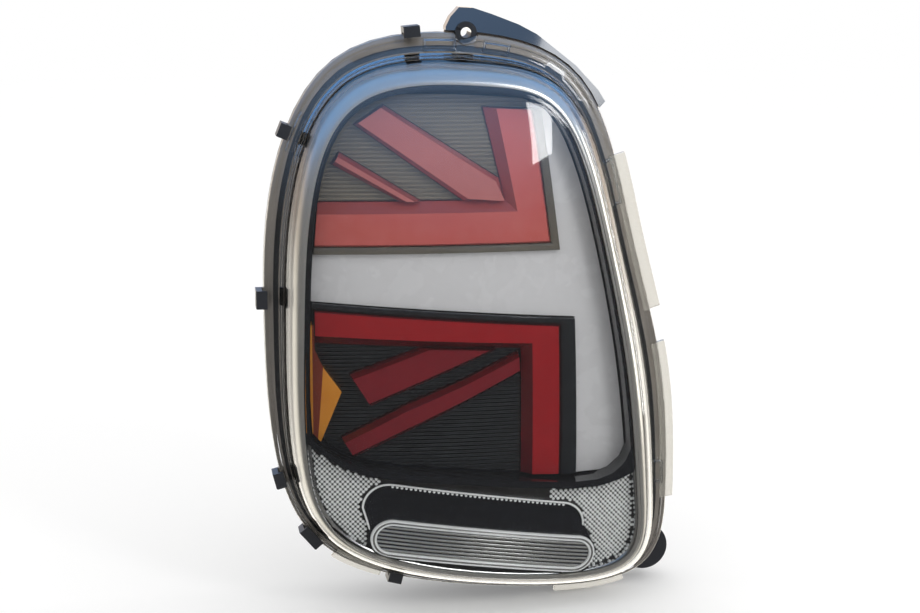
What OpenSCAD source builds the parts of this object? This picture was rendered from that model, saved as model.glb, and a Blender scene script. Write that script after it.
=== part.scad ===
// Tail light cluster of a small car.
// Millimetres. Z is up as on the car, the clear cover faces -Y and the mounting studs point +Y.
// The origin is the centre of the circle of the three studs, on the plane that meets the body.

/* [Overall] */
// Width over the rim of the clear cover
lamp_width = 206; // [190:1:220]
// Height over the rim of the clear cover
lamp_height = 290; // [266:1:310]
// Radius of the gentle dome that the rim, the cover and the light bars follow
dome_radius = 450; // [400:10:700]
// Distance from the middle of the rim plane to the mounting plane
rim_depth = 60; // [56:1:72]

/* [Clear cover] */
// Wall of the clear cover
cover_wall = 2.5; // [2:0.1:3]
// Height of the shoulder crease above the rim plane
shoulder_height = 25; // [24:0.5:30]
// Extra height of the middle of the cover above the crease
cover_crown = 9; // [5:0.5:14]
// Height of the ridge that runs round the rim
rim_ridge = 5; // [4.5:0.1:6.5]
// Reach of the clear tabs beyond the rim
tab_reach = 6; // [4:0.5:7]

/* [Light bars] */
// Front of the red bars above the rim plane
bar_front = 10; // [8:0.5:11]
// Front of the white cross above the rim plane
cross_front = 6; // [4.5:0.5:8]
// Width of the sloping edge of each red bar
bar_bevel = 5; // [2:0.5:6]
// Spacing of the ribs behind the upper bars
upper_rib_pitch = 2; // [1.6:0.2:5]
// Spacing of the ribs behind the lower bars
lower_rib_pitch = 2; // [1.6:0.2:5]
// Height of the ribs
rib_height = 1; // [0.6:0.1:2]

/* [Reversing lamp] */
// Half width of the pill shaped reversing lens
pill_radius = 10.5; // [9.5:0.1:10.8]
// Front of the reversing lens above the rim plane
pill_front = 18.4; // [17:0.1:18.5]
// Half width of the root of the black sleeve above the reversing lens
sleeve_radius = 11.5; // [10:0.5:12]
// Radius of the bulb glass
bulb_radius = 4.6; // [4:0.1:5.2]

/* [Housing] */
// Wall of the rear housing
housing_wall = 3; // [2.4:0.1:3.6]
// Thickness of the rim flange of the housing
flange_thickness = 4; // [3.4:0.1:5]
// Diameter of the circle that the three studs stand on
stud_circle = 130; // [110:1:140]
// Diameter of each stud
stud_diameter = 6; // [5:1:8]
// Length of each stud beyond the mounting plane
stud_length = 18; // [12:1:24]
// Diameter of the screw hole in the top ear
ear_hole = 5.2; // [4.2:0.1:6]

/* [Electrics] */
// Side of each light chip
chip_size = 3; // [2:0.5:3.5]
// Spacing of the light chips on the boards
chip_pitch = 14; // [11:1:18]
// Number of contact pins in the connector
pin_count = 5; // [3:1:6]

/* [Hidden] */
$fn = 48;
ball_facets = 280;
around = 80;
seat = 0.3;
cut_over = 1;
dome_back = dome_radius - rim_depth;
nominal_width = 206;
nominal_height = 290;
scale_x = lamp_width / nominal_width;
scale_z = lamp_height / nominal_height;
back_face = -3;
back_inside = back_face - housing_wall;
carrier_front = 1.5;
carrier_back = -1.5;
part_foot = carrier_front + seat;
board_face = -38;
board_thickness = 1.6;
sink_face = board_face + board_thickness + 0.2;
stud_radius = stud_diameter / 2;
stud_neck = stud_radius + 1;
stud_turns = [90, 210, 330];
bulb_place = [3.5, -107];
hole_clearance = 0.1;
slip = 0.4;

// Closed smooth outlines: the rim of the cover and the crease of its face
rim_points = [[-103, 8], [-101, -69], [-76, -125], [18, -139], [105, -146], [103, -88],
    [98, -18], [78, 44], [65, 128], [12, 147], [-72, 146], [-102, 74]];
face_points = [[-84, 8], [-86, -65], [-70, -112], [28, -128], [88, -128], [82, -87],
    [75, -21], [62, 41], [45, 116], [8, 121], [-63, 124], [-82, 68]];
face_centre = [-2, 2];

function place(p) = [p[0] * scale_x, p[1] * scale_z];
function weights(f) = [pow(1 - f, 3) / 6, (3 * f * f * f - 6 * f * f + 4) / 6,
    (3 * f * f - 3 * f * f * f + 3 * f + 1) / 6, f * f * f / 6];
function curve_point(points, t) =
    let (n = len(points), i = floor(t), w = weights(t - i))
    w[0] * points[(i + n - 1) % n] + w[1] * points[i % n]
    + w[2] * points[(i + 1) % n] + w[3] * points[(i + 2) % n];
// Outline at a share of the way from the rim, 0, to the crease, 1, and on beyond it
function outline(share, n = around) =
    let (points = [for (i = [0:len(rim_points) - 1])
        place(rim_points[i] * (1 - share) + face_points[i] * share)])
    [for (k = [0:n - 1]) curve_point(points, k * len(points) / n)];
function shrink(points, size) =
    [for (p = points) place(face_centre) * (1 - size) + p * size];
function dome_y(p, rise) =
    dome_back - sqrt(pow(dome_radius + rise, 2) - p[0] * p[0] - p[1] * p[1]);
// An outline laid on the dome, or on a flat plane
function on_dome(points, rise) = [for (p = points) [p[0], dome_y(p, rise), p[1]]];
function on_plane(points, y) = [for (p = points) [p[0], y, p[1]]];
function mix(a, b, t) = a * (1 - t) + b * t;
function refine(points, n) =
    [for (i = [0:len(points) - 2]) for (k = [0:n - 1]) mix(points[i], points[i + 1], k / n),
        points[len(points) - 1]];
function reversed(points) = [for (i = [len(points) - 1:-1:0]) points[i]];
function centre_of(ring) = [for (a = [0:2]) [for (p = ring) p[a]] * [for (p = ring) 1] / len(ring)];

// Six times the volume inside a skin, negative when its faces already look outwards
function swept(points, faces) =
    [for (f = faces) points[f[0]] * cross(points[f[1]], points[f[2]])] * [for (f = faces) 1];

// A skin through rings of points, closed to a tube or capped at both ends
module loft(rings, tube = false) {
    n = len(rings[0]);
    m = len(rings);
    last = tube ? m - 1 : m - 2;
    points = [for (ring = rings) for (p = ring) p,
        if (!tube) centre_of(rings[0]),
        if (!tube) centre_of(rings[m - 1])];
    sides = [for (i = [0:last]) for (k = [0:n - 1])
        let (j = (i + 1) % m, l = (k + 1) % n)
        each [[i * n + k, i * n + l, j * n + l], [i * n + k, j * n + l, j * n + k]]];
    caps = tube ? [] : [for (k = [0:n - 1])
        let (l = (k + 1) % n)
        each [[m * n, l, k], [m * n + 1, (m - 1) * n + k, (m - 1) * n + l]]];
    faces = concat(sides, caps);
    polyhedron(points, swept(points, faces) > 0 ? [for (f = faces) reversed(f)] : faces, convexity = 10);
}

// Solid of the dome up to a rise
module ball(rise) {
    translate([0, dome_back, 0])
        sphere(dome_radius + rise, $fn = ball_facets);
}

// Flat outline drawn in the lamp's X and Z, given depth from y_front to y_back
module upright(y_front, y_back) {
    translate([0, y_back, 0])
        rotate([90, 0, 0])
            linear_extrude(y_back - y_front)
                children();
}

// Flat outline given depth between two rises of the dome
module between_rises(low, high) {
    difference() {
        intersection() {
            upright(-rim_depth - high - cut_over, -20)
                children();
            ball(high);
        }
        ball(low);
    }
}

// Round bar along Y
module rod(p, radius, y_front, y_back) {
    translate([p[0], y_back, p[1]])
        rotate([90, 0, 0])
            cylinder(r = radius, h = y_back - y_front);
}

// Turned piece along Y, from a half section of radii and places along the axis
module turned(p, section) {
    translate([p[0], 0, p[1]])
        rotate([-90, 0, 0])
            rotate_extrude()
                polygon(section);
}

// Capsule outline between two points
module capsule(a, b, radius) {
    length = norm(b - a);
    turn = atan2(b[1] - a[1], b[0] - a[0]);
    translate(a)
        rotate(turn) {
            circle(radius);
            translate([length, 0])
                circle(radius);
            translate([0, -radius])
                square([length, 2 * radius]);
        }
}

// A bar between two edge lines. The section lists shares across and rises above the rim plane.
module ribbon(edge_a, edge_b, section) {
    a = refine(edge_a, 4);
    b = refine(edge_b, 4);
    loft([for (i = [0:len(a) - 1]) [for (s = section)
        let (p = place(mix(a[i], b[i], s[0]))) [p[0], dome_y(p, s[1]), p[1]]]]);
}
function step_out(points, i, margin) =
    let (last = len(points) - 1,
        next = i == 0 ? points[1] : points[last - 1],
        d = points[i] - next)
    i == 0 || i == last ? d / norm(d) * margin : [0, 0];
module ribbon_outline(edge_a, edge_b, margin) {
    wide = [for (i = [0:len(edge_a) - 1])
        let (d = (edge_b[i] - edge_a[i]) / norm(edge_b[i] - edge_a[i]))
        [edge_a[i] - d * margin + step_out(edge_a, i, margin),
            edge_b[i] + d * margin + step_out(edge_b, i, margin)]];
    polygon(concat([for (w = wide) place(w[0])], reversed([for (w = wide) place(w[1])])));
}

// Point on the rim at a step along it, moved outwards by a distance
function rim_spot(t, away) =
    let (points = [for (p = rim_points) place(p)],
        a = curve_point(points, t - 0.02),
        b = curve_point(points, t + 0.02),
        d = (b - a) / norm(b - a))
    (a + b) / 2 + [d[1], -d[0]] * away;
function rim_turn(t) =
    let (d = rim_spot(t, 1) - rim_spot(t, 0))
    atan2(d[1], d[0]);

function ring_spot(t, share) =
    curve_point([for (i = [0:len(rim_points) - 1])
        place(rim_points[i] * (1 - share) + face_points[i] * share)], t);

// Edge lines of the light bars: the first edge is the one with the sloping side
upper_corner_a = [[-77, 66], [14, 66], [4.5, 110]];
upper_corner_b = [[-78.3, 45.4], [35.6, 45.4], [28.2, 108.6]];
upper_wide_a = [[-43.5, 111.5], [11, 76.5], [13.5, 66.4]];
upper_wide_b = [[-57.5, 102.5], [-6.5, 66.3], [10.5, 66.1]];
upper_narrow_a = [[-65, 89.5], [-27, 66.4]];
upper_narrow_b = [[-68.5, 84], [-37, 66.4]];
upper_frame_a = [[-78.6, 45], [36, 45], [28.8, 108.5]];
upper_frame_b = [[-79.4, 41.6], [40.4, 41.6], [33, 108.5]];
lower_frame_a = [[-80, 15.2], [40.8, 5], [43, -73]];
lower_frame_b = [[-80, 18.2], [48, 7.4], [51, -73.4]];
lower_corner_a = [[-78.6, -2], [21.5, -6.6], [23, -71.4]];
lower_corner_b = [[-78.6, 14.7], [40.3, 4.5], [42.4, -72.6]];
lower_wide_a = [[-62, -17.5], [-28, -4.9]];
lower_wide_b = [[-52, -33.5], [9, -6.6]];
lower_narrow_a = [[-66, -50], [-34, -33], [-6, -21], [19.8, -8.5]];
lower_narrow_b = [[-60, -60], [-40, -50], [-6, -33], [20.6, -19]];

// Flat outlines of the panels behind the bars
upper_field = [[-80, 66.2], [26, 66.2], [28, 114], [-45, 118], [-66, 108], [-80, 80]];
lower_field = [[-79, -2], [30, -2], [32, -72.2], [-37, -65.2], [-54, -62.4], [-66.4, -57.6], [-74, -52]];
cross_field = [[-82, 41.2], [40.6, 41.2], [33.4, 112], [47, 110], [61, 60], [66, 20], [74, -20],
    [78, -73], [51.4, -73.6], [48.5, 7.9], [-82, 18.8]];
amber_field = [[-82, 8], [-79.3, 8], [-79.1, -4], [-75, -13], [-66.5, -25], [-76.6, -50.6],
    [-80.6, -46], [-82, -29]];

// The dark bar under the flag: its upper and lower edge
sill_a = [[-90, -36.5], [-84.5, -44], [-76.5, -52.2], [-67, -58.8], [-54, -63.8], [-35.5, -66.6],
    [-4.7, -69.6], [25.6, -72.8], [47, -74.8], [60, -74.5], [68, -72], [74, -66.6], [77.5, -58],
    [81, -47], [92, -40]];
sill_b = [[-94, -40], [-86.5, -46.6], [-78, -54.5], [-68.2, -61.5], [-54.8, -67.2], [-35.7, -70.2],
    [-4.6, -73.2], [20.6, -76], [47.8, -78.4], [62.2, -78], [72, -75.6], [78.5, -72.5], [83, -64],
    [87, -53], [96, -44]];
above_sill = concat(sill_a, [[92, 160], [-96, 160]]);
below_sill = concat(sill_b, [[120, -160], [-110, -160]]);

// Centre lines of the reversing lens and of the root of its black sleeve, kept inside fixed
// corners: the lower edge of the lens and the upper edge of the root stay in their places
pill_a = place([-53, -112]) + [pill_radius, pill_radius];
pill_b = place([61.5, -126.5]) + [-pill_radius, pill_radius];
root_a = place([-55.5, -73.7]) + [sleeve_radius, -sleeve_radius];
root_b = place([53.7, -88]) + [-sleeve_radius, -sleeve_radius];
panel_low = 11.5;
panel_high = 13.5;
bezel_high = 18.2;
sleeve_low = panel_high + seat;
sleeve_high = 16.2;

root_side = [[-70, -76], [-60, -84], [58, -95], [70, -92], [70, -60], [-70, -50]];
sleeve_lip = 1.2;

module field(points) {
    polygon([for (p = points) place(p)]);
}
module inside(share) {
    polygon(outline(share));
}
module pill(radius) {
    capsule(pill_a, pill_b, radius);
}

module sleeve_root(radius) {
    capsule(root_a, root_b, radius);
}

// Points round a capsule, starting at the right hand end below the line
function side_point(c, radius, turn) = c + radius * [cos(turn), sin(turn)];
function capsule_ring(a, b, radius, n = 16, straight = 8) =
    let (turn = atan2(b[1] - a[1], b[0] - a[0]))
    [for (k = [0:n]) side_point(b, radius, turn - 90 + 180 * k / n),
        for (k = [1:straight - 1]) side_point(mix(b, a, k / straight), radius, turn + 90),
        for (k = [0:n]) side_point(a, radius, turn + 90 + 180 * k / n),
        for (k = [1:straight - 1]) side_point(mix(a, b, k / straight), radius, turn - 90)];

// Black moulded bowl with the rim flange, the top ear, the clips and all fixing places
stud_pad = 9;
boss_front = -30;
boss_back = -2.4;
screw_steps = [9.2, 7.9, 6, 4.4, 10.9, 0.2];
screw_share = 0.885;
post_radius = 3.8;
ear_place = [-1.5, 145];
ear_boss = 5.4;
connector_place = [0, 8];
connector_size = [26, 16];
vent_place = [-36, 38];
vent_radius = 5;
peg_place = [24, 72];
lump_place = [96, -126];
lump_radius = 12.5;
lump_reach = 13;
web_margin = 18;
web_radius = 0.9;
clip_lip = rim_ridge + 1.4;
holder_radius = 11;
clip_steps = [[11.82, 9], [1.12, 8], [1.68, 12], [2.37, 7], [10.65, 7], [9.48, 8]];
ear_field = [[-12, 141], [-11, 148], [-8.5, 152.5], [-4, 157], [3, 156.6], [12, 153.6], [25, 148.6],
    [34, 143.8], [43, 136.6], [53, 128.6], [59, 122], [64, 116.6], [67.4, 111], [62, 106], [48, 122],
    [30, 134]];
function stud_spot(turn) = [cos(turn), sin(turn)] * stud_circle / 2;

module housing_bowl() {
    loft([
        on_plane(outline(1.45), back_face),
        on_plane(outline(1.36), back_face - 1.2),
        on_plane(outline(1.28), back_face - 5),
        on_plane(outline(1.12), back_face - 17),
        on_dome(outline(0.95), -14),
        on_dome(outline(0.8), -flange_thickness - 2.5),
        on_dome(outline(0.66), -flange_thickness),
        on_dome(outline(0), -flange_thickness),
        on_dome(outline(0), 0),
        on_dome(outline(0.26), 0),
        on_dome(outline(0.26), -1.7),
        on_dome(outline(0.42), -1.7),
        on_dome(outline(0.42), 0),
        on_dome(outline(0.76), 0),
        on_dome(outline(0.77), -1.8),
        on_dome(outline(0.92), -1.8),
        on_dome(outline(0.97), -7.5),
        on_dome(outline(1.1), -14.5),
        on_plane(outline(1.27), back_face - 17),
        on_plane(outline(1.42), back_inside - 3),
        on_plane(outline(1.48), back_inside - 0.7),
        on_plane(outline(1.56), back_inside)]);
}

module clip(step) {
    spot = rim_spot(step[0], 0);
    translate([spot[0], dome_y(spot, 0), spot[1]])
        rotate([0, -rim_turn(step[0]), 0])
            translate([0, 0, -step[1] / 2]) {
                translate([-2, 2, 0])
                    cube([5.4, 1.6, step[1]]);
                translate([2 * slip, -clip_lip, 0])
                    cube([3, clip_lip + 3.6, step[1]]);
                translate([-1.6, -clip_lip - 1, 0])
                    cube([5, 1.2, step[1]]);
            }
}

// Low webs on the back wall from stud to stud
module stiffening_webs() {
    upright(back_face - 0.5, -1)
        for (i = [0:2])
            let (a = stud_spot(stud_turns[i]),
                b = stud_spot(stud_turns[(i + 1) % 3]),
                d = (b - a) / norm(b - a))
                capsule(a + d * web_margin, b - d * web_margin, web_radius);
}

module rear_housing() {
    lump = place(lump_place);
    lump_y = dome_y(lump, -flange_thickness);
    color([0.07, 0.07, 0.075])
        difference() {
            union() {
                housing_bowl();
                between_rises(-3.5, -2)
                    field(ear_field);
                between_rises(-5.5, 2.4)
                    difference() {
                        field(ear_field);
                        polygon([for (p = outline(-0.05)) p]);
                    }
                rod(place(ear_place), ear_boss, dome_y(place(ear_place), 3.4), -26);
                for (turn = stud_turns)
                    rod(stud_spot(turn), stud_pad, back_inside - 1, 0);
                for (step = screw_steps)
                    let (p = ring_spot(step, screw_share))
                        rod(p, post_radius, dome_y(p, -3), dome_y(p, -3) + 12);
                rod(place(bulb_place), holder_radius + 4, boss_front, boss_back);
                rod(lump, lump_radius, lump_y - 0.1, lump_y + lump_reach);
                translate([lump[0], lump_y + lump_reach, lump[1]])
                    sphere(lump_radius);
                stiffening_webs();
                rod(peg_place, 4, back_inside + 1, 7);
                for (step = clip_steps)
                    clip(step);
            }
            rod(place(ear_place), ear_hole / 2, -60, 0);
            for (turn = stud_turns)
                rod(stud_spot(turn), stud_neck + hole_clearance, -20, cut_over);
            for (step = screw_steps)
                let (p = ring_spot(step, screw_share))
                    rod(p, 1.5, -60, dome_y(p, -3) + 10);
            rod(place(bulb_place), holder_radius, -60, cut_over);
            rod(vent_place, vent_radius, -20, cut_over);
            translate([connector_place[0], -10, connector_place[1]])
                cube([connector_size[0], 20, connector_size[1]], center = true);
        }
}

// Soft foam ring between the housing and the car body, widened to eyes round two bosses
gasket_eye = 6;
module body_gasket() {
    eyes = [[stud_spot(stud_turns[2]), stud_pad + 1], [place(bulb_place), holder_radius + 5]];
    color([0.13, 0.13, 0.13])
        upright(back_face + hole_clearance, 0)
            difference() {
                intersection() {
                    inside(1.5);
                    union() {
                        difference() {
                            inside(1.5);
                            inside(1.95);
                        }
                        for (eye = eyes)
                            translate(eye[0])
                                circle(eye[1] + gasket_eye);
                    }
                }
                for (turn = stud_turns)
                    translate(stud_spot(turn))
                        circle(stud_pad + 1);
                translate(eyes[1][0])
                    circle(eyes[1][1]);
            }
}

// Three studs with domed heads inside the bowl, a wider neck in its wall and a pointed end
stud_head = 7.5;
stud_head_thickness = 3;
stud_point = 1.6;
module mounting_studs() {
    under_head = back_inside - 1;
    head_top = under_head - stud_head_thickness;
    color([0.72, 0.73, 0.74])
        for (turn = stud_turns)
            turned(stud_spot(turn), [
                [0, head_top],
                [stud_head - 2.5, head_top + 0.3],
                [stud_head - 0.4, head_top + 1.4],
                [stud_head, under_head - 0.8],
                [stud_head, under_head],
                [stud_neck, under_head],
                [stud_neck, 0],
                [stud_radius, 0],
                [stud_radius, stud_length - stud_point],
                [stud_radius - 0.9, stud_length],
                [0, stud_length]]);
}

// Breather cap pressed into the back
module vent_cap() {
    color([0.2, 0.2, 0.2]) {
        rod(vent_place, vent_radius - hole_clearance, back_inside - 2, back_face + hole_clearance);
        rod(vent_place, vent_radius + 2.5, back_face + hole_clearance, -0.6);
    }
}

// Line of glue that closes the clear cover to the flange
module sealing_bead() {
    color([0.05, 0.05, 0.05])
        loft([
            on_dome(outline(0.27), -1.5),
            on_dome(outline(0.27), -0.1),
            on_dome(outline(0.41), -0.1),
            on_dome(outline(0.41), -1.5)], tube = true);
}

// Clear moulded cover: foot with two ridges, steep wall, round shoulder and crowned face
foot_low = 0.1;
face_steps = [0.97, 0.88, 0.74, 0.56, 0.35, 0.15];
function crown(size) = shoulder_height + cover_crown * (1 - size * size);
tab_steps = [[6.42, 7.5, 1], [4.86, 6.15, 0.75], [3.33, 3.85, 0.65], [1.92, 2.28, 0.5]];
module cover_skin() {
    loft([
        for (i = [len(face_steps) - 1:-1:0])
            on_dome(shrink(outline(1), face_steps[i]), crown(face_steps[i]) + 0.1),
        on_dome(outline(1), shoulder_height + 0.5),
        on_dome(outline(0.94), shoulder_height - 0.2),
        on_dome(outline(0.8), shoulder_height - 1),
        on_dome(outline(0.66), shoulder_height - 3.2),
        on_dome(outline(0.53), shoulder_height - 8),
        on_dome(outline(0.46), shoulder_height - 14),
        on_dome(outline(0.41), rim_ridge),
        on_dome(outline(0.36), rim_ridge - 1.4),
        on_dome(outline(0.15), rim_ridge - 1.4),
        on_dome(outline(0.11), rim_ridge),
        on_dome(outline(0.04), rim_ridge),
        on_dome(outline(0), rim_ridge - 0.8),
        on_dome(outline(0), foot_low),
        on_dome(outline(0.5), foot_low),
        on_dome(outline(0.52), 2),
        on_dome(outline(0.575), shoulder_height - 14),
        on_dome(outline(0.63), shoulder_height - 9),
        on_dome(outline(0.74), shoulder_height - 4.8),
        on_dome(outline(0.86), shoulder_height - 3),
        on_dome(outline(1), shoulder_height - cover_wall),
        for (size = face_steps)
            on_dome(shrink(outline(1), size), crown(size) - cover_wall)]);
}
module tab(step) {
    inner = [for (k = [0:10]) rim_spot(mix(step[0], step[1], k / 10), -3)];
    outer = [for (k = [0:10]) rim_spot(mix(step[0], step[1], k / 10), tab_reach * step[2])];
    between_rises(0.5, 3)
        polygon(concat(inner, reversed(outer)));
}
// Shallow trays on the rim: a low wall round a patch of it
tray_steps = [[8.78, 8.99], [9.19, 9.41], [7.2, 7.5], [5, 5.2], [10.47, 10.76]];
function rim_patch(step, shares) = concat(
    [for (k = [0:5]) ring_spot(mix(step[0], step[1], k / 5), shares[0])],
    [for (k = [5:-1:0]) ring_spot(mix(step[0], step[1], k / 5), shares[1])]);
module tray(step) {
    outer = rim_patch(step, [0.1, 0.36]);
    inner = rim_patch([step[0] + 0.018, step[1] - 0.018], [0.16, 0.3]);
    loft([
        on_dome(outer, rim_ridge - 2),
        on_dome(outer, rim_ridge + 0.5),
        on_dome(inner, rim_ridge + 0.5),
        on_dome(inner, rim_ridge - 2)], tube = true);
}
module outer_lens() {
    color([0.9, 0.93, 0.95, 0.35])
        difference() {
            union() {
                cover_skin();
                for (step = tab_steps)
                    tab(step);
                for (step = tray_steps)
                    tray(step);
            }
            rod(place(ear_place), ear_boss + slip, -70, -20);
        }
}

// Bright satin ring behind the shoulder of the cover
module surround_ring() {
    color([0.85, 0.83, 0.78])
        loft([
            on_dome(outline(0.655), foot_low + seat),
            on_dome(outline(0.66), shoulder_height - 13.5),
            on_dome(outline(0.71), shoulder_height - 8.6),
            on_dome(outline(0.81), shoulder_height - 5.8),
            on_dome(outline(0.93), shoulder_height - 4.6),
            on_dome(outline(1), shoulder_height - 4.8),
            on_dome(outline(1), shoulder_height - 6.3),
            on_dome(outline(0.93), shoulder_height - 6.2),
            on_dome(outline(0.84), shoulder_height - 7.4),
            on_dome(outline(0.77), shoulder_height - 9.8),
            on_dome(outline(0.745), shoulder_height - 13.5),
            on_dome(outline(0.745), foot_low + seat)], tube = true);
}

// Gloss black frame round the flag: a thin wall, a floor and the dark bar beneath
module flag_window(margin) {
    for (outline_points = [upper_field, lower_field, cross_field, amber_field])
        offset(delta = margin)
            field(outline_points);
    ribbon_outline(upper_corner_a, upper_frame_b, margin);
    ribbon_outline(lower_corner_a, lower_frame_b, margin);
}
module inner_bezel() {
    color([0.02, 0.02, 0.03]) {
        between_rises(part_foot, bezel_high)
            union() {
                intersection() {
                    difference() {
                        inside(1.02);
                        inside(1.1);
                    }
                    field(above_sill);
                }
                intersection() {
                    inside(1.02);
                    field(concat(sill_a, reversed(sill_b)));
                }
            }
        between_rises(part_foot, part_foot + 1.6)
            difference() {
                intersection() {
                    inside(1.05);
                    field(above_sill);
                }
                flag_window(slip);
            }
    }
}

// Silver panel below the dark bar, with its own turned-up edge
module optic_panel() {
    color([0.78, 0.79, 0.8]) {
        between_rises(panel_low, panel_high)
            difference() {
                intersection() {
                    inside(1.04);
                    offset(delta = -slip)
                        field(below_sill);
                }
                pill(pill_radius - 2);
            }
        between_rises(panel_high - seat, panel_high + sleeve_lip)
            difference() {
                intersection() {
                    sleeve_root(sleeve_radius + slip + sleeve_lip);
                    field(root_side);
                    offset(delta = -slip)
                        field(below_sill);
                }
                sleeve_root(sleeve_radius + slip);
                pill(pill_radius + 0.9);
            }
        between_rises(part_foot, bezel_high)
            intersection() {
                difference() {
                    inside(1.02);
                    inside(1.1);
                }
                difference() {
                    offset(delta = -slip)
                        field(below_sill);
                    pill(pill_radius + 0.9);
                }
            }
    }
}

// Plate behind the flag that carries the bars, with a light window under each bar
window_margin = -3;
carrier_edge = 0.81;
module bar_windows() {
    ribbon_outline(upper_corner_a, upper_corner_b, window_margin);
    ribbon_outline([for (i = [0:1]) upper_wide_a[i]], [for (i = [0:1]) upper_wide_b[i]], window_margin);
    ribbon_outline(lower_corner_a, lower_corner_b, window_margin);
    ribbon_outline(lower_wide_a, lower_wide_b, window_margin);
}
module lamp_carrier() {
    color([0.16, 0.16, 0.17])
        difference() {
            between_rises(carrier_back, carrier_front)
                difference() {
                    inside(carrier_edge);
                    bar_windows();
                    pill(pill_radius + 1);
                }
            for (step = screw_steps)
                rod(ring_spot(step, screw_share), 1.5, -90, -10);
        }
}

// Pan head screws that hold the plate on the posts of the bowl
screw_head = 2.2;
module carrier_screws() {
    color([0.6, 0.6, 0.58])
        for (step = screw_steps) {
            p = ring_spot(step, screw_share);
            seat_y = dome_y(p, carrier_front + 1.1);
            rod(p, screw_head, seat_y - 1.6, seat_y);
            rod(p, 1.4, seat_y - 0.1, seat_y + 9);
        }
}

// Pale diffuser shaped as the broad white cross
module white_cross() {
    color([0.78, 0.77, 0.77])
        between_rises(part_foot, cross_front)
            intersection() {
                field(cross_field);
                inside(1.13);
                field(above_sill);
            }
}

// Section of a bar: a sloping side, then a flat front
function bar_section(width) =
    [[0, part_foot], [0, bar_front - 4.5], [bar_bevel / width, bar_front],
        [1 - 0.8 / width, bar_front], [1, bar_front - 1], [1, part_foot], [0.5, part_foot]];
function two_sided(width) =
    [[0, part_foot], [0, bar_front - 3], [2 / width, bar_front], [1 - 2 / width, bar_front],
        [1, bar_front - 3], [1, part_foot], [0.5, part_foot]];
frame_section = [[0, part_foot], [0, bar_front - 1.2], [0.3, bar_front - 0.6],
    [1, bar_front - 0.6], [1, part_foot]];

module upper_divider() {
    color([0.3, 0.29, 0.26])
        ribbon(upper_frame_a, upper_frame_b, frame_section);
}
module lower_divider() {
    color([0.06, 0.06, 0.07])
        ribbon(lower_frame_a, lower_frame_b, frame_section);
}
module upper_corner_bar() {
    color([0.76, 0.2, 0.17])
        ribbon(upper_corner_a, upper_corner_b, bar_section(20));
}
module upper_wide_diagonal() {
    color([0.76, 0.26, 0.24])
        ribbon(upper_wide_a, upper_wide_b, two_sided(18));
}
module upper_narrow_diagonal() {
    color([0.7, 0.3, 0.28])
        ribbon(upper_narrow_a, upper_narrow_b, two_sided(6.5));
}
module lower_corner_bar() {
    color([0.6, 0.06, 0.08])
        ribbon(lower_corner_a, lower_corner_b, bar_section(19));
}
module lower_wide_diagonal() {
    color([0.52, 0.1, 0.12])
        ribbon(lower_wide_a, lower_wide_b, two_sided(18));
}
module lower_narrow_diagonal() {
    color([0.5, 0.06, 0.09])
        ribbon(lower_narrow_a, lower_narrow_b, two_sided(11));
}

// Ribbed sheet in the gaps between the bars
module ribbed_sheet(pitch, low_z, high_z) {
    sheet_front = part_foot + 1.6;
    intersection() {
        upright(-rim_depth - 20, -20)
            children();
        difference() {
            union() {
                ball(sheet_front);
                for (z = [low_z:pitch:high_z])
                    translate([0, dome_back, z])
                        cylinder(r = sqrt(pow(dome_radius + sheet_front + rib_height, 2) - z * z),
                            h = pitch / 2, $fn = ball_facets);
            }
            ball(part_foot);
        }
    }
}
module upper_ribbed_panel() {
    color([0.42, 0.38, 0.32])
        ribbed_sheet(upper_rib_pitch, 67 * scale_z, 117 * scale_z)
            difference() {
                intersection() {
                    field(upper_field);
                    inside(1.13);
                }
                ribbon_outline(upper_corner_a, upper_frame_b, slip);
                ribbon_outline(upper_wide_a, upper_wide_b, slip);
                ribbon_outline(upper_narrow_a, upper_narrow_b, slip);
            }
}
module lower_ribbed_panel() {
    color([0.1, 0.11, 0.12])
        ribbed_sheet(lower_rib_pitch, -71.5 * scale_z, -3 * scale_z)
            difference() {
                intersection() {
                    field(lower_field);
                    inside(1.13);
                    field(above_sill);
                }
                ribbon_outline(lower_corner_a, lower_frame_b, slip);
                ribbon_outline(lower_wide_a, lower_wide_b, slip);
                ribbon_outline(lower_narrow_a, lower_narrow_b, slip);
                offset(delta = slip)
                    field(amber_field);
            }
}

// Amber block of the direction indicator at the left edge
amber_front = 12;
module amber_lens() {
    color([0.85, 0.5, 0.1])
        between_rises(part_foot, amber_front)
            intersection() {
                field(amber_field);
                inside(1.13);
                field(above_sill);
            }
}

// Light boards behind the two quarters of the flag and behind the amber block
upper_board = [[-58, 44], [33, 44], [28, 100], [-46, 100]];
lower_board = [[-56, -66], [40, -66], [40, 14], [-56, 14]];
module upper_light_board() {
    color([0.85, 0.87, 0.85])
        upright(board_face, board_face + board_thickness)
            field(upper_board);
}
module lower_light_board() {
    color([0.85, 0.87, 0.85])
        upright(board_face, board_face + board_thickness)
            field(lower_board);
}
indicator_corner = [-80, -46];
indicator_face = dome_y(place(indicator_corner), carrier_back) + seat;
module indicator_board() {
    color([0.12, 0.35, 0.2])
        upright(indicator_face, indicator_face + board_thickness)
            field([indicator_corner, [-66, -46], [-66, 2], [-80, 2]]);
}
module chip_row(a, b, face) {
    count = max(1, floor(norm(b - a) / chip_pitch));
    for (k = [0:count])
        let (p = place(mix(a, b, k / count)))
            translate([p[0] - chip_size / 2, face - 1, p[1] - chip_size / 2])
                cube([chip_size, 1 - hole_clearance, chip_size]);
}
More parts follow.
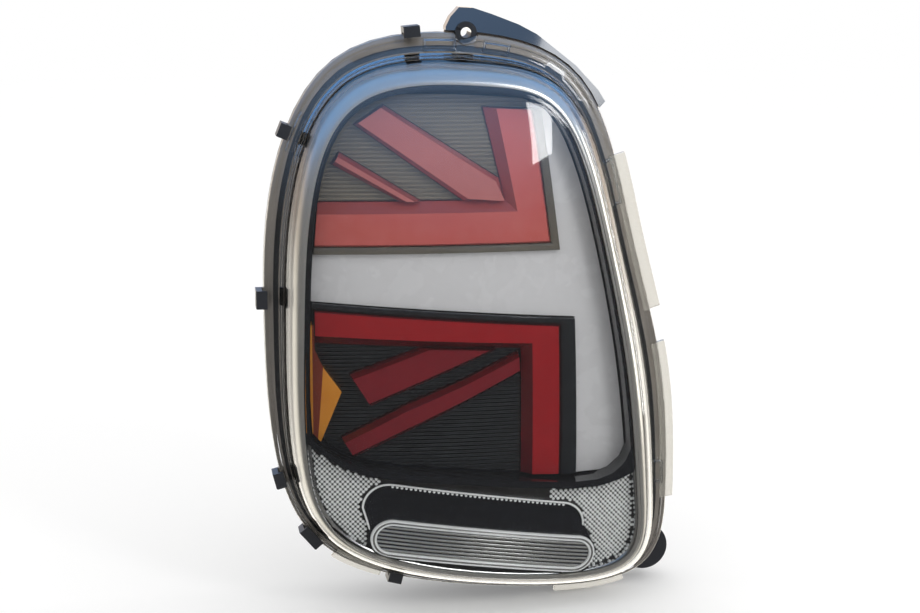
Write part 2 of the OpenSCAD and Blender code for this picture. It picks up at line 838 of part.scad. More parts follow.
module tail_chips() {
    color([0.95, 0.9, 0.6]) {
        chip_row([-50, 54], [0, 54], board_face);
        chip_row([24, 54], [20, 96], board_face);
        chip_row([-40, 94], [-6, 72], board_face);
        chip_row([-50, 6], [0, 2], board_face);
        chip_row([33, 0], [34, -60], board_face);
        chip_row([-44, -20], [-16, -8], board_face);
        chip_row([-44, -50], [8, -20], board_face);
    }
}
module indicator_chips() {
    color([0.95, 0.7, 0.3])
        chip_row([-73, -40], [-73, -4], indicator_face);
}

// Aluminium plate with fins that takes heat from the boards
fin_pitch = 10;
module heat_sink() {
    color([0.75, 0.76, 0.78]) {
        upright(sink_face, sink_face + 2.5)
            field([[-50, -60], [36, -60], [36, 96], [-50, 96]]);
        for (x = [-48:fin_pitch:34])
            if (abs(x) > stud_pad + 3)
                translate([x * scale_x, sink_face, 52 * scale_z])
                    cube([1.6, back_inside - seat - sink_face, 38 * scale_z]);
    }
}

// Control board with its chips, in a case on the back wall
driver_place = [-14, -46];
module light_driver() {
    color([0.1, 0.3, 0.2])
        translate([driver_place[0], back_inside - seat - 4, driver_place[1]])
            cube([46, 2, 30]);
    color([0.1, 0.1, 0.1]) {
        translate([driver_place[0] + 5, back_inside - seat - 6, driver_place[1] + 5])
            cube([10, 2.5, 10]);
        translate([driver_place[0] + 24, back_inside - seat - 9, driver_place[1] + 6])
            cube([12, 5.5, 16]);
        for (x = [3, 41])
            translate([driver_place[0] + x, back_inside - seat - 2.5, driver_place[1] + 13])
                cube([3, 2.5, 4]);
    }
}

// Plug socket through the back wall
socket_wall = 1.8;
socket_out = 12;
module connector_socket() {
    w = connector_size[0];
    h = connector_size[1];
    color([0.1, 0.1, 0.1])
        translate([connector_place[0], 0, connector_place[1]])
            difference() {
                union() {
                    translate([0, (socket_out - 12) / 2, 0])
                        cube([w - 2 * hole_clearance, socket_out + 12, h - 2 * hole_clearance],
                            center = true);
                    translate([0, back_inside - seat - 1, 0])
                        cube([w + 6, 2, h + 6], center = true);
                    translate([0, 5, h / 2 + 0.9])
                        cube([6, 8, 2], center = true);
                }
                translate([-w / 2 + socket_wall, -6, -h / 2 + socket_wall])
                    cube([w - 2 * socket_wall, socket_out + 12, h - 2 * socket_wall]);
                for (k = [0:pin_count - 1])
                    translate([(k - (pin_count - 1) / 2) * 4 - 0.5, -13, -0.5])
                        cube([1, 10, 1]);
            }
}
module connector_pins() {
    color([0.8, 0.7, 0.4])
        for (k = [0:pin_count - 1])
            translate([connector_place[0] + (k - (pin_count - 1) / 2) * 4 - 0.4, -14,
                connector_place[1] - 0.4])
                cube([0.8, 20, 0.8]);
}

// Black sleeve that runs down from the silver panel to the reversing lens
module reversing_sleeve() {
    low = capsule_ring(root_a, root_b, sleeve_radius);
    pills = capsule_ring(pill_a, pill_b, pill_radius + 0.4);
    first = 8;
    last = 16 + 8 + 8;
    base = [for (k = [0:len(low) - 1]) k >= first && k <= last ? low[k] : pills[k]];
    hole = capsule_ring(pill_a, pill_b, pill_radius - 2);
    color([0.03, 0.03, 0.035])
        loft([on_dome(base, sleeve_low), on_dome(pills, sleeve_high), on_dome(hole, sleeve_high),
            on_dome(hole, sleeve_low)], tube = true);
}
// Clear pill with a raised rim and fine ribs that light the way backwards
lens_rib_count = 7;
lens_rib_pitch = (pill_radius - 4.8) / 3;
module reversing_lens() {
    color([0.88, 0.9, 0.92, 0.6]) {
        between_rises(sleeve_high + 0.2, pill_front - 1)
            pill(pill_radius);
        between_rises(pill_front - 1.2, pill_front)
            difference() {
                pill(pill_radius - 0.6);
                pill(pill_radius - 3);
            }
        between_rises(pill_front - 1.2, pill_front - 0.3)
            intersection() {
                pill(pill_radius - 3.6);
                for (k = [0:lens_rib_count - 1])
                    let (off = (k - (lens_rib_count - 1) / 2) * lens_rib_pitch)
                        capsule(pill_a + [-20, off], pill_b + [20, off], 0.45);
            }
    }
}

// Bright trough behind the reversing lens, with the bulb through its floor
trough_floor = -44;
module reversing_reflector() {
    color([0.85, 0.86, 0.87])
        difference() {
            intersection() {
                upright(-100, trough_floor)
                    pill(pill_radius - 0.6);
                ball(panel_low - seat);
            }
            upright(-100, trough_floor - 1.5)
                pill(pill_radius - 2.1);
            rod(place(bulb_place), bulb_radius + 1, -60, -30);
        }
}

// Bulb: glass, filament posts left inside, and its wedge base
bulb_length = 26;
module reversing_bulb() {
    tip = trough_floor - bulb_length / 2;
    color([0.9, 0.92, 0.93, 0.5]) {
        rod(place(bulb_place), bulb_radius, tip, trough_floor + 8);
        intersection() {
            translate([place(bulb_place)[0], tip, place(bulb_place)[1]])
                sphere(bulb_radius);
            rod(place(bulb_place), bulb_radius, tip - bulb_radius, tip + 0.1);
        }
    }
}

// Twist-in holder of the bulb with its three lugs
module bulb_holder() {
    p = place(bulb_place);
    color([0.12, 0.12, 0.12])
        difference() {
            union() {
                rod(p, holder_radius - 0.3, -34, 1);
                rod(p, holder_radius + 3, boss_back + 1.7, 2.5);
                translate([p[0] - 9, 1.5, p[1] - 1.5])
                    cube([18, 8, 3]);
            }
            rod(p, bulb_radius + hole_clearance, -40, -26);
        }
}

// Rubber ring under the holder
module holder_seal() {
    color([0.05, 0.05, 0.05])
        difference() {
            rod(place(bulb_place), holder_radius + 2.6, boss_back + hole_clearance, boss_back + 1.6);
            rod(place(bulb_place), holder_radius + 0.2, -20, 20);
        }
}

rear_housing();
body_gasket();
mounting_studs();
vent_cap();
sealing_bead();
outer_lens();
surround_ring();
inner_bezel();
optic_panel();
lamp_carrier();
carrier_screws();
white_cross();
upper_divider();
lower_divider();
upper_corner_bar();
upper_wide_diagonal();
upper_narrow_diagonal();
lower_corner_bar();
lower_wide_diagonal();
lower_narrow_diagonal();
upper_ribbed_panel();
lower_ribbed_panel();
amber_lens();
upper_light_board();
lower_light_board();
indicator_board();
tail_chips();
indicator_chips();
heat_sink();
light_driver();
connector_socket();
connector_pins();
reversing_sleeve();
reversing_lens();
reversing_reflector();
reversing_bulb();
bulb_holder();
holder_seal();
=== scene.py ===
# %% [markdown]
# # Tail light cluster
# A rear lamp of a small car is a stack of thin layers: a black bowl at the back, coloured light bars and
# panels in the middle, and one clear domed cover over all of it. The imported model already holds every
# piece at its true size, so this lesson adds what a photograph shows on top: smooth skins, fine texture
# and the way each plastic and plated surface takes the light.

# %% Load the frame
import math
import bpy
import bmesh
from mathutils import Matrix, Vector


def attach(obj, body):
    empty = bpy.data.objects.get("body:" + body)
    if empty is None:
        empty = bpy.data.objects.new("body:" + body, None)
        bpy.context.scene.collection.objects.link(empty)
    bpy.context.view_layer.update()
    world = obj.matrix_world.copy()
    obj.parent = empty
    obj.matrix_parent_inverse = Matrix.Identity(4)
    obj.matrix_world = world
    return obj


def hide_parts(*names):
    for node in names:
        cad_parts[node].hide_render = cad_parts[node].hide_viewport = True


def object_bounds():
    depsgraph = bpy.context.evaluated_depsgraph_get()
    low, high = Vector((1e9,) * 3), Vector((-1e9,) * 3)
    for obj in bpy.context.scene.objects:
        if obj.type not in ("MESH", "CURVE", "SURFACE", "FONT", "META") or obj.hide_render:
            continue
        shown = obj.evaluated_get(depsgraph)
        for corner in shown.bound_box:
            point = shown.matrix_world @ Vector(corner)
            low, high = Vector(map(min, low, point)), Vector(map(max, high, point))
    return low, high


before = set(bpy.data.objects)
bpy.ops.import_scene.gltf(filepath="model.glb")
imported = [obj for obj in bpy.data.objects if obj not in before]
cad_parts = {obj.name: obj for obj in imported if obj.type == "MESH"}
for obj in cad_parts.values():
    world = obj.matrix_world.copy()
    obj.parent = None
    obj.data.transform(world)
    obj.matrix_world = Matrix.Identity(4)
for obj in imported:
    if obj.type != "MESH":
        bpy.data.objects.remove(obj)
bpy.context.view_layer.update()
print("pieces in the frame:", len(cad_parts))

# %% [markdown]
# ## The shape that all layers share
# The rim of the lamp is one closed smooth curve, and the crease of its face is a second one inside it.
# Every layer lies between the two, at some height over a gently domed surface. A closed spline through a
# dozen listed points gives both curves, and a share from 0 to 1 slides from one to the other. Sizes
# are in millimetres, x to the right and z up, until a spot is put on the dome and becomes metres.

# %% The rim, the crease and the dome
MM = 0.001
DOME_RADIUS = 450
DOME_BACK = 390
RIM_POINTS = [(-103, 8), (-101, -69), (-76, -125), (18, -139), (105, -146), (103, -88),
              (98, -18), (78, 44), (65, 128), (12, 147), (-72, 146), (-102, 74)]
FACE_POINTS = [(-84, 8), (-86, -65), (-70, -112), (28, -128), (88, -128), (82, -87),
               (75, -21), (62, 41), (45, 116), (8, 121), (-63, 124), (-82, 68)]
FACE_CENTRE = (-2, 2)
DOME_CENTRE = Vector((0, DOME_BACK * MM, 0))


def curve_point(points, t):
    """Point at step t on a closed uniform spline."""
    n, i = len(points), math.floor(t)
    f = t - i
    weights = ((1 - f) ** 3 / 6, (3 * f ** 3 - 6 * f ** 2 + 4) / 6,
               (3 * f ** 2 - 3 * f ** 3 + 3 * f + 1) / 6, f ** 3 / 6)
    near = [points[(i + k - 1) % n] for k in range(4)]
    return tuple(sum(w * p[a] for w, p in zip(weights, near)) for a in (0, 1))


def guide_points(share):
    """The points of the curve at a share of the way from the rim, 0, to the crease, 1."""
    return [tuple(r[a] * (1 - share) + f[a] * share for a in (0, 1))
            for r, f in zip(RIM_POINTS, FACE_POINTS)]


def outline(share, count=288):
    """The closed curve at a share, as a loop of flat spots."""
    points = guide_points(share)
    return [curve_point(points, k * len(points) / count) for k in range(count)]


def shrunk(points, size):
    """The curve drawn in towards the middle of the face."""
    return [tuple(FACE_CENTRE[a] * (1 - size) + p[a] * size for a in (0, 1)) for p in points]


def on_dome(x, z, rise):
    """A flat spot lifted to a height over the dome, in metres."""
    y = DOME_BACK - math.sqrt((DOME_RADIUS + rise) ** 2 - x * x - z * z)
    return Vector((x, y, z)) * MM


rim_across = [x for x, z in outline(0)]
print("rim spans", round(max(rim_across) - min(rim_across)), "mm across")

# %% [markdown]
# ## Camera
# The photograph looks at the lamp a little from its left and from above, from just under a metre away.
# The camera comes first, because every later choice is judged through it. Its focal length follows from
# the distance and from how many millimetres of the lamp one pixel of the picture covers.

# %% Camera
AZIMUTH, ELEVATION = math.radians(-9), math.radians(12)
AIM = Vector((-10, -75, 17)) * MM
DISTANCE = 0.9
SENSOR_WIDTH = 36
PICTURE_WIDTH = 920
MM_PER_PIXEL = 0.48


def add_object(name, data):
    """A new object at the origin, linked to the scene."""
    made = bpy.data.objects.new(name, data)
    bpy.context.scene.collection.objects.link(made)
    return made


back = Vector((math.sin(AZIMUTH) * math.cos(ELEVATION), -math.cos(AZIMUTH) * math.cos(ELEVATION),
               math.sin(ELEVATION)))
lens = bpy.data.cameras.new("camera")
lens.sensor_width = SENSOR_WIDTH
lens.lens = SENSOR_WIDTH * DISTANCE / (PICTURE_WIDTH * MM_PER_PIXEL * MM)
camera = add_object("camera", lens)
camera.location = AIM + back * DISTANCE
camera.rotation_mode = "QUATERNION"
camera.rotation_quaternion = (-back).to_track_quat("-Z", "Y")
bpy.context.scene.camera = camera
print("focal length", round(lens.lens, 1), "mm")

# %% [markdown]
# ## Writing shader sums in plain Python
# A material is a small machine of nodes, and so is the world. Wrapping each output in a class that knows
# plus, minus and times lets the finishes below read like ordinary sums, and one method makes any other
# node: it takes the node's type, its settings and what goes into its sockets.

# %% Sockets that can be added and multiplied
class Wire:
    """An output of a node that can stand in a sum."""

    def __init__(self, shader, socket):
        self.shader, self.socket = shader, socket

    def _sum(self, operation, a, b):
        return self.shader.node("ShaderNodeMath", {"operation": operation}, {0: a, 1: b})

    def __add__(self, other):
        return self._sum("ADD", self, other)

    def __radd__(self, other):
        return self._sum("ADD", other, self)

    def __sub__(self, other):
        return self._sum("SUBTRACT", self, other)

    def __rsub__(self, other):
        return self._sum("SUBTRACT", other, self)

    def __mul__(self, other):
        return self._sum("MULTIPLY", self, other)

    def __rmul__(self, other):
        return self._sum("MULTIPLY", other, self)

    def __gt__(self, other):
        return self._sum("GREATER_THAN", self, other)


class Shader:
    """The nodes of a material or of the world, none at first."""

    def __init__(self, owner):
        owner.use_nodes = True
        self.tree = owner.node_tree
        self.tree.nodes.clear()

    def feed(self, socket, value):
        """Links a wire to a socket, or sets the socket to a plain value."""
        if isinstance(value, Wire):
            self.tree.links.new(value.socket, socket)
        elif isinstance(value, tuple) and len(value) == 3 and socket.type == "RGBA":
            socket.default_value = (*value, 1)
        else:
            socket.default_value = value

    def node(self, kind, settings=None, inputs=None, output=0):
        """Adds a node and gives one of its outputs. Stops are the places and colours of a ramp."""
        made = self.tree.nodes.new(kind)
        for key, value in (settings or {}).items():
            if key == "stops":
                ramp = made.color_ramp
                while len(ramp.elements) < len(value):
                    ramp.elements.new(0.5)
                for element, (place, colour) in zip(ramp.elements, value):
                    element.position, element.color = place, (*colour, 1)
            else:
                setattr(made, key, value)
        for key, value in (inputs or {}).items():
            self.feed(made.inputs[key], value)
        return Wire(self, made.outputs[output])

    def blend(self, factor, low, high):
        """A colour between two others."""
        return self.node("ShaderNodeMix", {"data_type": "RGBA"}, {0: factor, 6: low, 7: high}, 2)


print("wires and shaders ready")

# %% [markdown]
# Every surface of the lamp is one principled shader whose colour and roughness wander a little, because
# nothing moulded or plated is perfectly even. So a finish starts with its average values, and a noise on
# the object's own coordinates then takes the place of some of them.

# %% A finish with its patterns
class Finish(Shader):
    """A material with one main shader. Values given by name go to its sockets."""

    def __init__(self, name, **values):
        self.material = bpy.data.materials.new(name)
        super().__init__(self.material)
        self.out = self.tree.nodes.new("ShaderNodeOutputMaterial")
        self.main = self.tree.nodes.new("ShaderNodeBsdfPrincipled")
        self.tree.links.new(self.main.outputs[0], self.out.inputs["Surface"])
        self.set(**values)

    def set(self, **values):
        for name, value in values.items():
            self.feed(self.main.inputs[name.replace("_", " ").title().replace("Ior", "IOR")], value)

    def spot(self):
        """Where a point is on the object, in metres."""
        return self.node("ShaderNodeTexCoord", {}, {}, "Object")

    def noise(self, scale, detail=3.0, roughness=0.5, stretch=None):
        place = self.spot()
        if stretch:
            place = self.node("ShaderNodeVectorMath", {"operation": "MULTIPLY"}, {0: place, 1: stretch})
        return self.node("ShaderNodeTexNoise", {}, {"Vector": place, "Scale": scale, "Detail": detail,
                                                    "Roughness": roughness}, "Fac")

    def bump(self, height, depth, strength):
        self.set(normal=self.node("ShaderNodeBump", {}, {"Height": height, "Distance": depth,
                                                         "Strength": strength}))

    def let_lamps_through(self):
        """Rays from lamps pass straight through, so that what lies behind is lit."""
        shadow = self.node("ShaderNodeLightPath", {}, {}, "Is Shadow Ray")
        nothing = self.node("ShaderNodeBsdfTransparent")
        both = self.node("ShaderNodeMixShader", {}, {0: shadow, 1: Wire(self, self.main.outputs[0]),
                                                     2: nothing})
        self.feed(self.out.inputs["Surface"], both)


print("finishes can be mixed")

# %% [markdown]
# ## Finishes of the clear and bright pieces
# The cover is clear moulded plastic: it bends the view at its ridges and mirrors its surroundings at its
# shoulder. The ring behind the shoulder is satin metallised, and the panel at the foot is bright. The
# lens is ribbed, and an attribute of its mesh says how near a point is to the crest of its rib; the
# lens's colour is near-black with a painted highlight along each crest.

# %% Clear, satin and bright finishes
clear = Finish("clear_plastic", base_color=(0.97, 0.985, 0.99), roughness=0.03, ior=1.49,
               transmission_weight=1.0)
clear.set(roughness=clear.noise(60, 2) * 0.03 + 0.015)
clear.bump(clear.noise(14, 1), 0.0006, 0.25)
clear.let_lamps_through()

frosted = Finish("frosted_glass", base_color=(0.9, 0.92, 0.93), roughness=0.35, ior=1.49,
                 transmission_weight=0.85)
frosted.set(roughness=frosted.noise(90, 2) * 0.1 + 0.3)
frosted.let_lamps_through()

satin = Finish("satin_metal", base_color=(0.95, 0.91, 0.84), metallic=0.85, roughness=0.3)
satin.set(roughness=satin.noise(220, 3) * 0.08 + 0.26)
satin.bump(satin.noise(900, 2), 0.00004, 0.3)

silvered = Finish("silvered_edge", base_color=(0.98, 0.98, 0.97), metallic=0.05, roughness=0.2)
silvered.set(roughness=silvered.noise(130, 2) * 0.1 + 0.14)

# Darker grey for the groove between the lens rim's ridges: painted shade.
groove_painted_shade = Finish("groove_painted_shade", metallic=0.3, roughness=0.3)
groove_painted_shade.set(base_color=groove_painted_shade.blend(groove_painted_shade.noise(60, 2),
                                             (0.22, 0.21, 0.2), (0.32, 0.31, 0.29)),
                roughness=groove_painted_shade.noise(130, 2) * 0.1 + 0.24)

# Ribbed lens colour: near-black, with a painted highlight where a point nears the crest of its rib.
RIB_HIGHLIGHT_STOPS = [(0.0, (0.0, 0.0, 0.0)), (0.55, (0.04, 0.04, 0.04)), (0.8, (1.0, 1.0, 1.0))]
ribbed = Finish("ribbed_clear", roughness=0.16, metallic=0.55, ior=1.49)
crest = ribbed.node("ShaderNodeAttribute", {"attribute_name": "crest"}, {}, "Fac")
painted_crest_highlight = ribbed.node("ShaderNodeValToRGB", {"stops": RIB_HIGHLIGHT_STOPS}, {0: crest})
ribbed.set(base_color=ribbed.blend(painted_crest_highlight, (0.035, 0.03, 0.025), (0.6, 0.59, 0.56)),
           roughness=ribbed.noise(160, 2) * 0.08 + 0.12)

bright = Finish("bright_metal", base_color=(0.84, 0.85, 0.86), metallic=1.0, roughness=0.12)
bright.set(roughness=bright.noise(150, 2) * 0.08 + 0.1)

stud_silver = Finish("stud_silver", base_color=(0.97, 0.965, 0.95), metallic=0.05, roughness=0.2)
stud_silver.set(roughness=stud_silver.noise(400, 2) * 0.1 + 0.16)

# Near-black floor of the silver panel: painted shade between the studs.
painted_shade_between_studs = Finish("painted_shade_between_studs", metallic=0.8, roughness=0.4)
painted_shade_between_studs.set(base_color=painted_shade_between_studs.blend(painted_shade_between_studs.noise(50, 2),
                                                 (0.05, 0.048, 0.045), (0.1, 0.095, 0.09)),
                  roughness=painted_shade_between_studs.noise(160, 2) * 0.1 + 0.34)

tinted = Finish("tinted_tab", base_color=(0.88, 0.85, 0.78), roughness=0.08, ior=1.49,
                transmission_weight=0.75)
tinted.set(roughness=tinted.noise(90, 3) * 0.12 + 0.04)
tinted.bump(tinted.noise(40, 2), 0.0005, 0.3)
tinted.let_lamps_through()
print("clear, satin and bright ready")

# %% [markdown]
# ## Finishes of the black pieces
# Three blacks meet in this lamp. The bowl is grained plastic, the frame round the flag is polished, and
# the seals and the gasket are soft and dull. Their difference is nearly all in roughness and grain. Seen
# through the clear foot of the cover, the flange of the bowl looks paler, and that sheen is painted into
# a paler brown tone of its own.

# %% Black finishes
grained = Finish("grained_black", base_color=(0.018, 0.018, 0.02), roughness=0.45)
grained.set(base_color=grained.blend(grained.noise(35, 4), (0.012, 0.012, 0.014), (0.03, 0.03, 0.032)),
            roughness=grained.noise(80, 3) * 0.2 + 0.34)
grained.bump(grained.noise(1600, 3), 0.00012, 0.5)

polished = Finish("polished_black", base_color=(0.008, 0.009, 0.012), roughness=0.07,
                  coat_weight=0.4)
polished.set(roughness=polished.noise(120, 4) * 0.08 + 0.04)

# Paler brown on the black flange: painted sheen of the clear foot that lies over it.
flange_painted_sheen = Finish("flange_painted_sheen", base_color=(0.12, 0.105, 0.09), roughness=0.35)
flange_painted_sheen.set(base_color=flange_painted_sheen.blend(flange_painted_sheen.noise(45, 3),
                                             (0.2, 0.175, 0.15), (0.34, 0.3, 0.265)),
                roughness=flange_painted_sheen.noise(120, 2) * 0.15 + 0.28)

rubber = Finish("dull_rubber", base_color=(0.02, 0.02, 0.02), roughness=0.8)
rubber.set(roughness=rubber.noise(300, 3) * 0.2 + 0.65)
rubber.bump(rubber.noise(900, 4), 0.0002, 0.6)

foam = Finish("closed_foam", base_color=(0.03, 0.03, 0.032), roughness=0.95)
foam.bump(foam.node("ShaderNodeTexVoronoi", {}, {"Vector": foam.spot(), "Scale": 900.0}, "Distance"),
          0.0006, 0.8)
print("black finishes ready")

# %% [markdown]
# ## Finishes of the light bars
# An unlit light bar is coloured plastic with a smooth skin over a slightly cloudy body. The upper ones
# are pinker and the lower ones are deep red, and the sloping sides of both get a darker colour as painted
# shade.

# %% Red, white and smoked finishes
def light_guide(name, deep, pale, gloss=0.12):
    """Cloudy coloured plastic between a deep and a pale tone."""
    made = Finish(name, roughness=gloss, coat_weight=0.5)
    cloud = made.noise(22, 3, 0.6)
    fine = made.noise(180, 2)
    made.set(base_color=made.blend(cloud * 0.7 + fine * 0.3, deep, pale),
             roughness=made.noise(90, 3) * 0.1 + gloss)
    return made


upper_red = light_guide("upper_red", (0.5, 0.06, 0.05), (0.6, 0.15, 0.13), 0.2)
# The side finishes are darker copies of the bar colours: painted shade on the sloping sides.
upper_painted_shade_side = light_guide("upper_painted_shade_side", (0.3, 0.05, 0.045), (0.38, 0.075, 0.065), 0.25)
upper_pink = light_guide("upper_pink", (0.42, 0.1, 0.085), (0.55, 0.17, 0.15), 0.25)
upper_pink_painted_shade_side = light_guide("upper_pink_painted_shade_side", (0.26, 0.035, 0.03), (0.33, 0.05, 0.045), 0.25)
lower_red = light_guide("lower_red", (0.26, 0.006, 0.01), (0.42, 0.012, 0.016))
# Painted shade: the darker copy of the lower red for the sloping sides.
lower_painted_shade_side = light_guide("lower_painted_shade_side", (0.08, 0.004, 0.007), (0.13, 0.008, 0.01))
lower_dark = light_guide("lower_dark", (0.15, 0.008, 0.014), (0.25, 0.014, 0.022))
milky = light_guide("milky_white", (0.68, 0.665, 0.67), (0.7, 0.685, 0.69), 0.22)
smoked_brown = light_guide("smoked_brown", (0.1, 0.09, 0.07), (0.15, 0.13, 0.1), 0.25)
smoked_black = light_guide("smoked_black", (0.01, 0.012, 0.014), (0.022, 0.025, 0.028), 0.2)
rib_brown = light_guide("rib_brown", (0.17, 0.145, 0.105), (0.28, 0.24, 0.18), 0.3)
rib_black = light_guide("rib_black", (0.008, 0.01, 0.012), (0.03, 0.033, 0.036), 0.25)
print("light bar finishes ready")

# %% [markdown]
# The amber block has a dark strip along its inside. Its place on the object is compared with the two
# edges of the strip, and each comparison is 0 or 1, so their product is 1 only between the edges.

# %% Amber with a dark strip
STRIP_LEFT = -80.2
STRIP_RIGHT, STRIP_FOOT, STRIP_SLANT = -74.6, -5, 0.075
amber = Finish("amber_guide", roughness=0.15, coat_weight=0.5)
amber_x, amber_z = (amber.node("ShaderNodeSeparateXYZ", {}, {0: amber.spot()}, axis) * (1 / MM)
                    for axis in "XZ")
strip_end = STRIP_RIGHT + (amber_z - STRIP_FOOT) * STRIP_SLANT
strip = (amber_x > STRIP_LEFT) * (strip_end > amber_x)
lit = amber.blend(amber.noise(22, 3, 0.6), (0.6, 0.2, 0.015), (0.8, 0.34, 0.03))
amber.set(base_color=amber.blend(strip, lit, (0.2, 0.03, 0.012)),
          roughness=amber.noise(90, 3) * 0.1 + 0.15)
print("amber ready")

# %% [markdown]
# ## Finishes behind the scenes
# Studs, screws, boards and fins sit behind or inside, but a lamp turned over shows the studs and the
# plug, so they get their plating, solder mask and brushed metal too.

# %% Metals and boards
steel = Finish("zinc_plate", base_color=(0.62, 0.62, 0.6), metallic=1.0, roughness=0.35)
steel.set(base_color=steel.blend(steel.noise(180, 4), (0.5, 0.5, 0.47), (0.72, 0.71, 0.67)),
          roughness=steel.noise(300, 3) * 0.2 + 0.28)
brass = Finish("tinned_brass", base_color=(0.7, 0.58, 0.32), metallic=1.0, roughness=0.3)
brass.set(roughness=brass.noise(600, 2) * 0.2 + 0.2)
aluminium = Finish("plain_aluminium", base_color=(0.7, 0.71, 0.72), metallic=1.0, roughness=0.4)
aluminium.set(roughness=aluminium.noise(120, 3, stretch=(1, 1, 12)) * 0.25 + 0.3)
white_board = Finish("white_mask", base_color=(0.7, 0.72, 0.7), roughness=0.35)
white_board.set(base_color=white_board.blend(white_board.noise(400, 2),
                                             (0.62, 0.64, 0.62), (0.74, 0.76, 0.74)))
green_board = Finish("green_mask", base_color=(0.02, 0.12, 0.05), roughness=0.3)
green_board.set(base_color=green_board.blend(green_board.noise(500, 3),
                                             (0.012, 0.08, 0.03), (0.03, 0.16, 0.07)))
chip = Finish("light_chip", base_color=(0.8, 0.7, 0.25), roughness=0.3)
chip.set(roughness=chip.noise(900, 1) * 0.2 + 0.25)
print("metals and boards ready")

# %% [markdown]
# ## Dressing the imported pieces
# Many pieces already have their final shape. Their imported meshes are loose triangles, so a copy is
# merged, and edges sharper than a set angle stay crisp while the rest is shaded smooth.

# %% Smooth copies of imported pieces
MERGE_DISTANCE = 2e-6
FLAT_ANGLE = 0.6
CRISP_ANGLE = 32
BEVEL_ANGLE = 40


def finish_piece(piece, finish, node):
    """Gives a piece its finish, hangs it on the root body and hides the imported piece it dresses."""
    piece.data.materials.clear()
    piece.data.materials.append(finish.material)
    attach(piece, "root")
    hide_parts(node)
    return piece


def round_edges(piece, width, angle):
    """Rounds the edges that are sharper than an angle in degrees."""
    rounding = piece.modifiers.new("rounding", "BEVEL")
    rounding.width, rounding.segments, rounding.limit_method = width, 2, "ANGLE"
    rounding.angle_limit = math.radians(angle)
    return rounding


def smooth_copy(node, finish, bevel):
    """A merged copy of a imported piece, crisp at its sharp edges and smooth elsewhere."""
    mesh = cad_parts[node].data.copy()
    skin = bmesh.new()
    skin.from_mesh(mesh)
    bmesh.ops.remove_doubles(skin, verts=skin.verts, dist=MERGE_DISTANCE)
    bmesh.ops.dissolve_limit(skin, angle_limit=math.radians(FLAT_ANGLE), verts=skin.verts,
                             edges=skin.edges)
    for edge in skin.edges:
        edge.smooth = len(edge.link_faces) == 2 and edge.calc_face_angle(3) < math.radians(CRISP_ANGLE)
    for face in skin.faces:
        face.smooth = True
    skin.to_mesh(mesh)
    skin.free()
    piece = add_object(node + "_skin", mesh)
    if bevel:
        round_edges(piece, bevel, BEVEL_ANGLE)
    return finish_piece(piece, finish, node)


DRESS = {
    "rear_housing": grained, "body_gasket": foam, "mounting_studs": steel, "vent_cap": grained,
    "sealing_bead": rubber, "inner_bezel": polished, "lamp_carrier": grained,
    "carrier_screws": steel, "white_cross": milky, "upper_divider": smoked_brown,
    "lower_divider": smoked_black, "upper_corner_bar": upper_red, "upper_wide_diagonal": upper_pink,
    "upper_narrow_diagonal": upper_pink, "lower_corner_bar": lower_red,
    "lower_wide_diagonal": lower_dark, "lower_narrow_diagonal": lower_dark,
    "upper_ribbed_panel": rib_brown, "lower_ribbed_panel": rib_black, "amber_lens": amber,
    "upper_light_board": white_board, "lower_light_board": white_board,
    "indicator_board": green_board, "tail_chips": chip, "indicator_chips": chip,
    "heat_sink": aluminium, "light_driver": green_board, "connector_socket": grained,
    "connector_pins": brass, "reversing_sleeve": polished, "reversing_reflector": bright,
    "bulb_holder": grained, "holder_seal": rubber, "optic_panel": bright,
    "reversing_bulb": frosted,
}
ROUNDED = {"inner_bezel": 0.35 * MM, "upper_divider": 0.3 * MM, "lower_divider": 0.3 * MM}
pieces = {node: smooth_copy(node, finish, ROUNDED.get(node, 0)) for node, finish in DRESS.items()}
print("dressed", len(DRESS), "pieces")

# %% [markdown]
# ## Two tones on one moulding
# The flat front of a light bar looks brighter than its sloping side, so the sides get darker copies of
# its colour as painted shade. The bowl is grained behind, glossy on its screw ear and painted paler on
# the flange under the clear foot, as painted sheen, and only the floor of the silver panel is dull,
# painted near-black as shade between the studs. A rule looks at the middle of each face, at its height
# over the dome and at how squarely it faces outwards, and gives some of the faces another finish.

# %% A second finish by rule
FRONT_FACING = 0.97
FLANGE_LOW, FLANGE_HIGH = -2.4, 0.4
EAR_BACK, EAR_FOOT, EAR_LEFT = -6, 98, -16
PANEL_FLOOR = 13.5


def second_tone(node, finish, rule):
    """A second finish for the faces whose spot, height over the dome and facing follow a rule."""
    piece = pieces[node]
    piece.data.materials.append(finish.material)
    count = 0
    for face in piece.data.polygons:
        outward = face.center - DOME_CENTRE
        rise = outward.length / MM - DOME_RADIUS
        if rule(face.center / MM, rise, face.normal.dot(outward.normalized())):
            face.material_index = len(piece.data.materials) - 1
            count += 1
    print(node, "faces in", finish.material.name, count)


def is_inside(p, loop):
    """Whether a flat spot lies inside a closed loop of spots."""
    hit = False
    for a, b in zip(loop, loop[1:] + loop[:1]):
        if (a.y > p.y) != (b.y > p.y) and p.x < (b.x - a.x) * (p.y - a.y) / (b.y - a.y) + a.x:
            hit = not hit
    return hit


rim_loop = [Vector(p) for p in outline(-0.03, 180)]


def is_side(spot, rise, facing):
    return facing < FRONT_FACING


def is_flange(spot, rise, facing):
    return FLANGE_LOW < rise < FLANGE_HIGH and facing > 0.5


def is_ear(spot, rise, facing):
    at_top = rise > EAR_BACK and spot.z > EAR_FOOT and spot.x > EAR_LEFT
    return at_top and not is_inside(Vector((spot.x, spot.z)), rim_loop)


def is_panel_floor(spot, rise, facing):
    return abs(rise - PANEL_FLOOR) < 0.25 and facing > 0.9


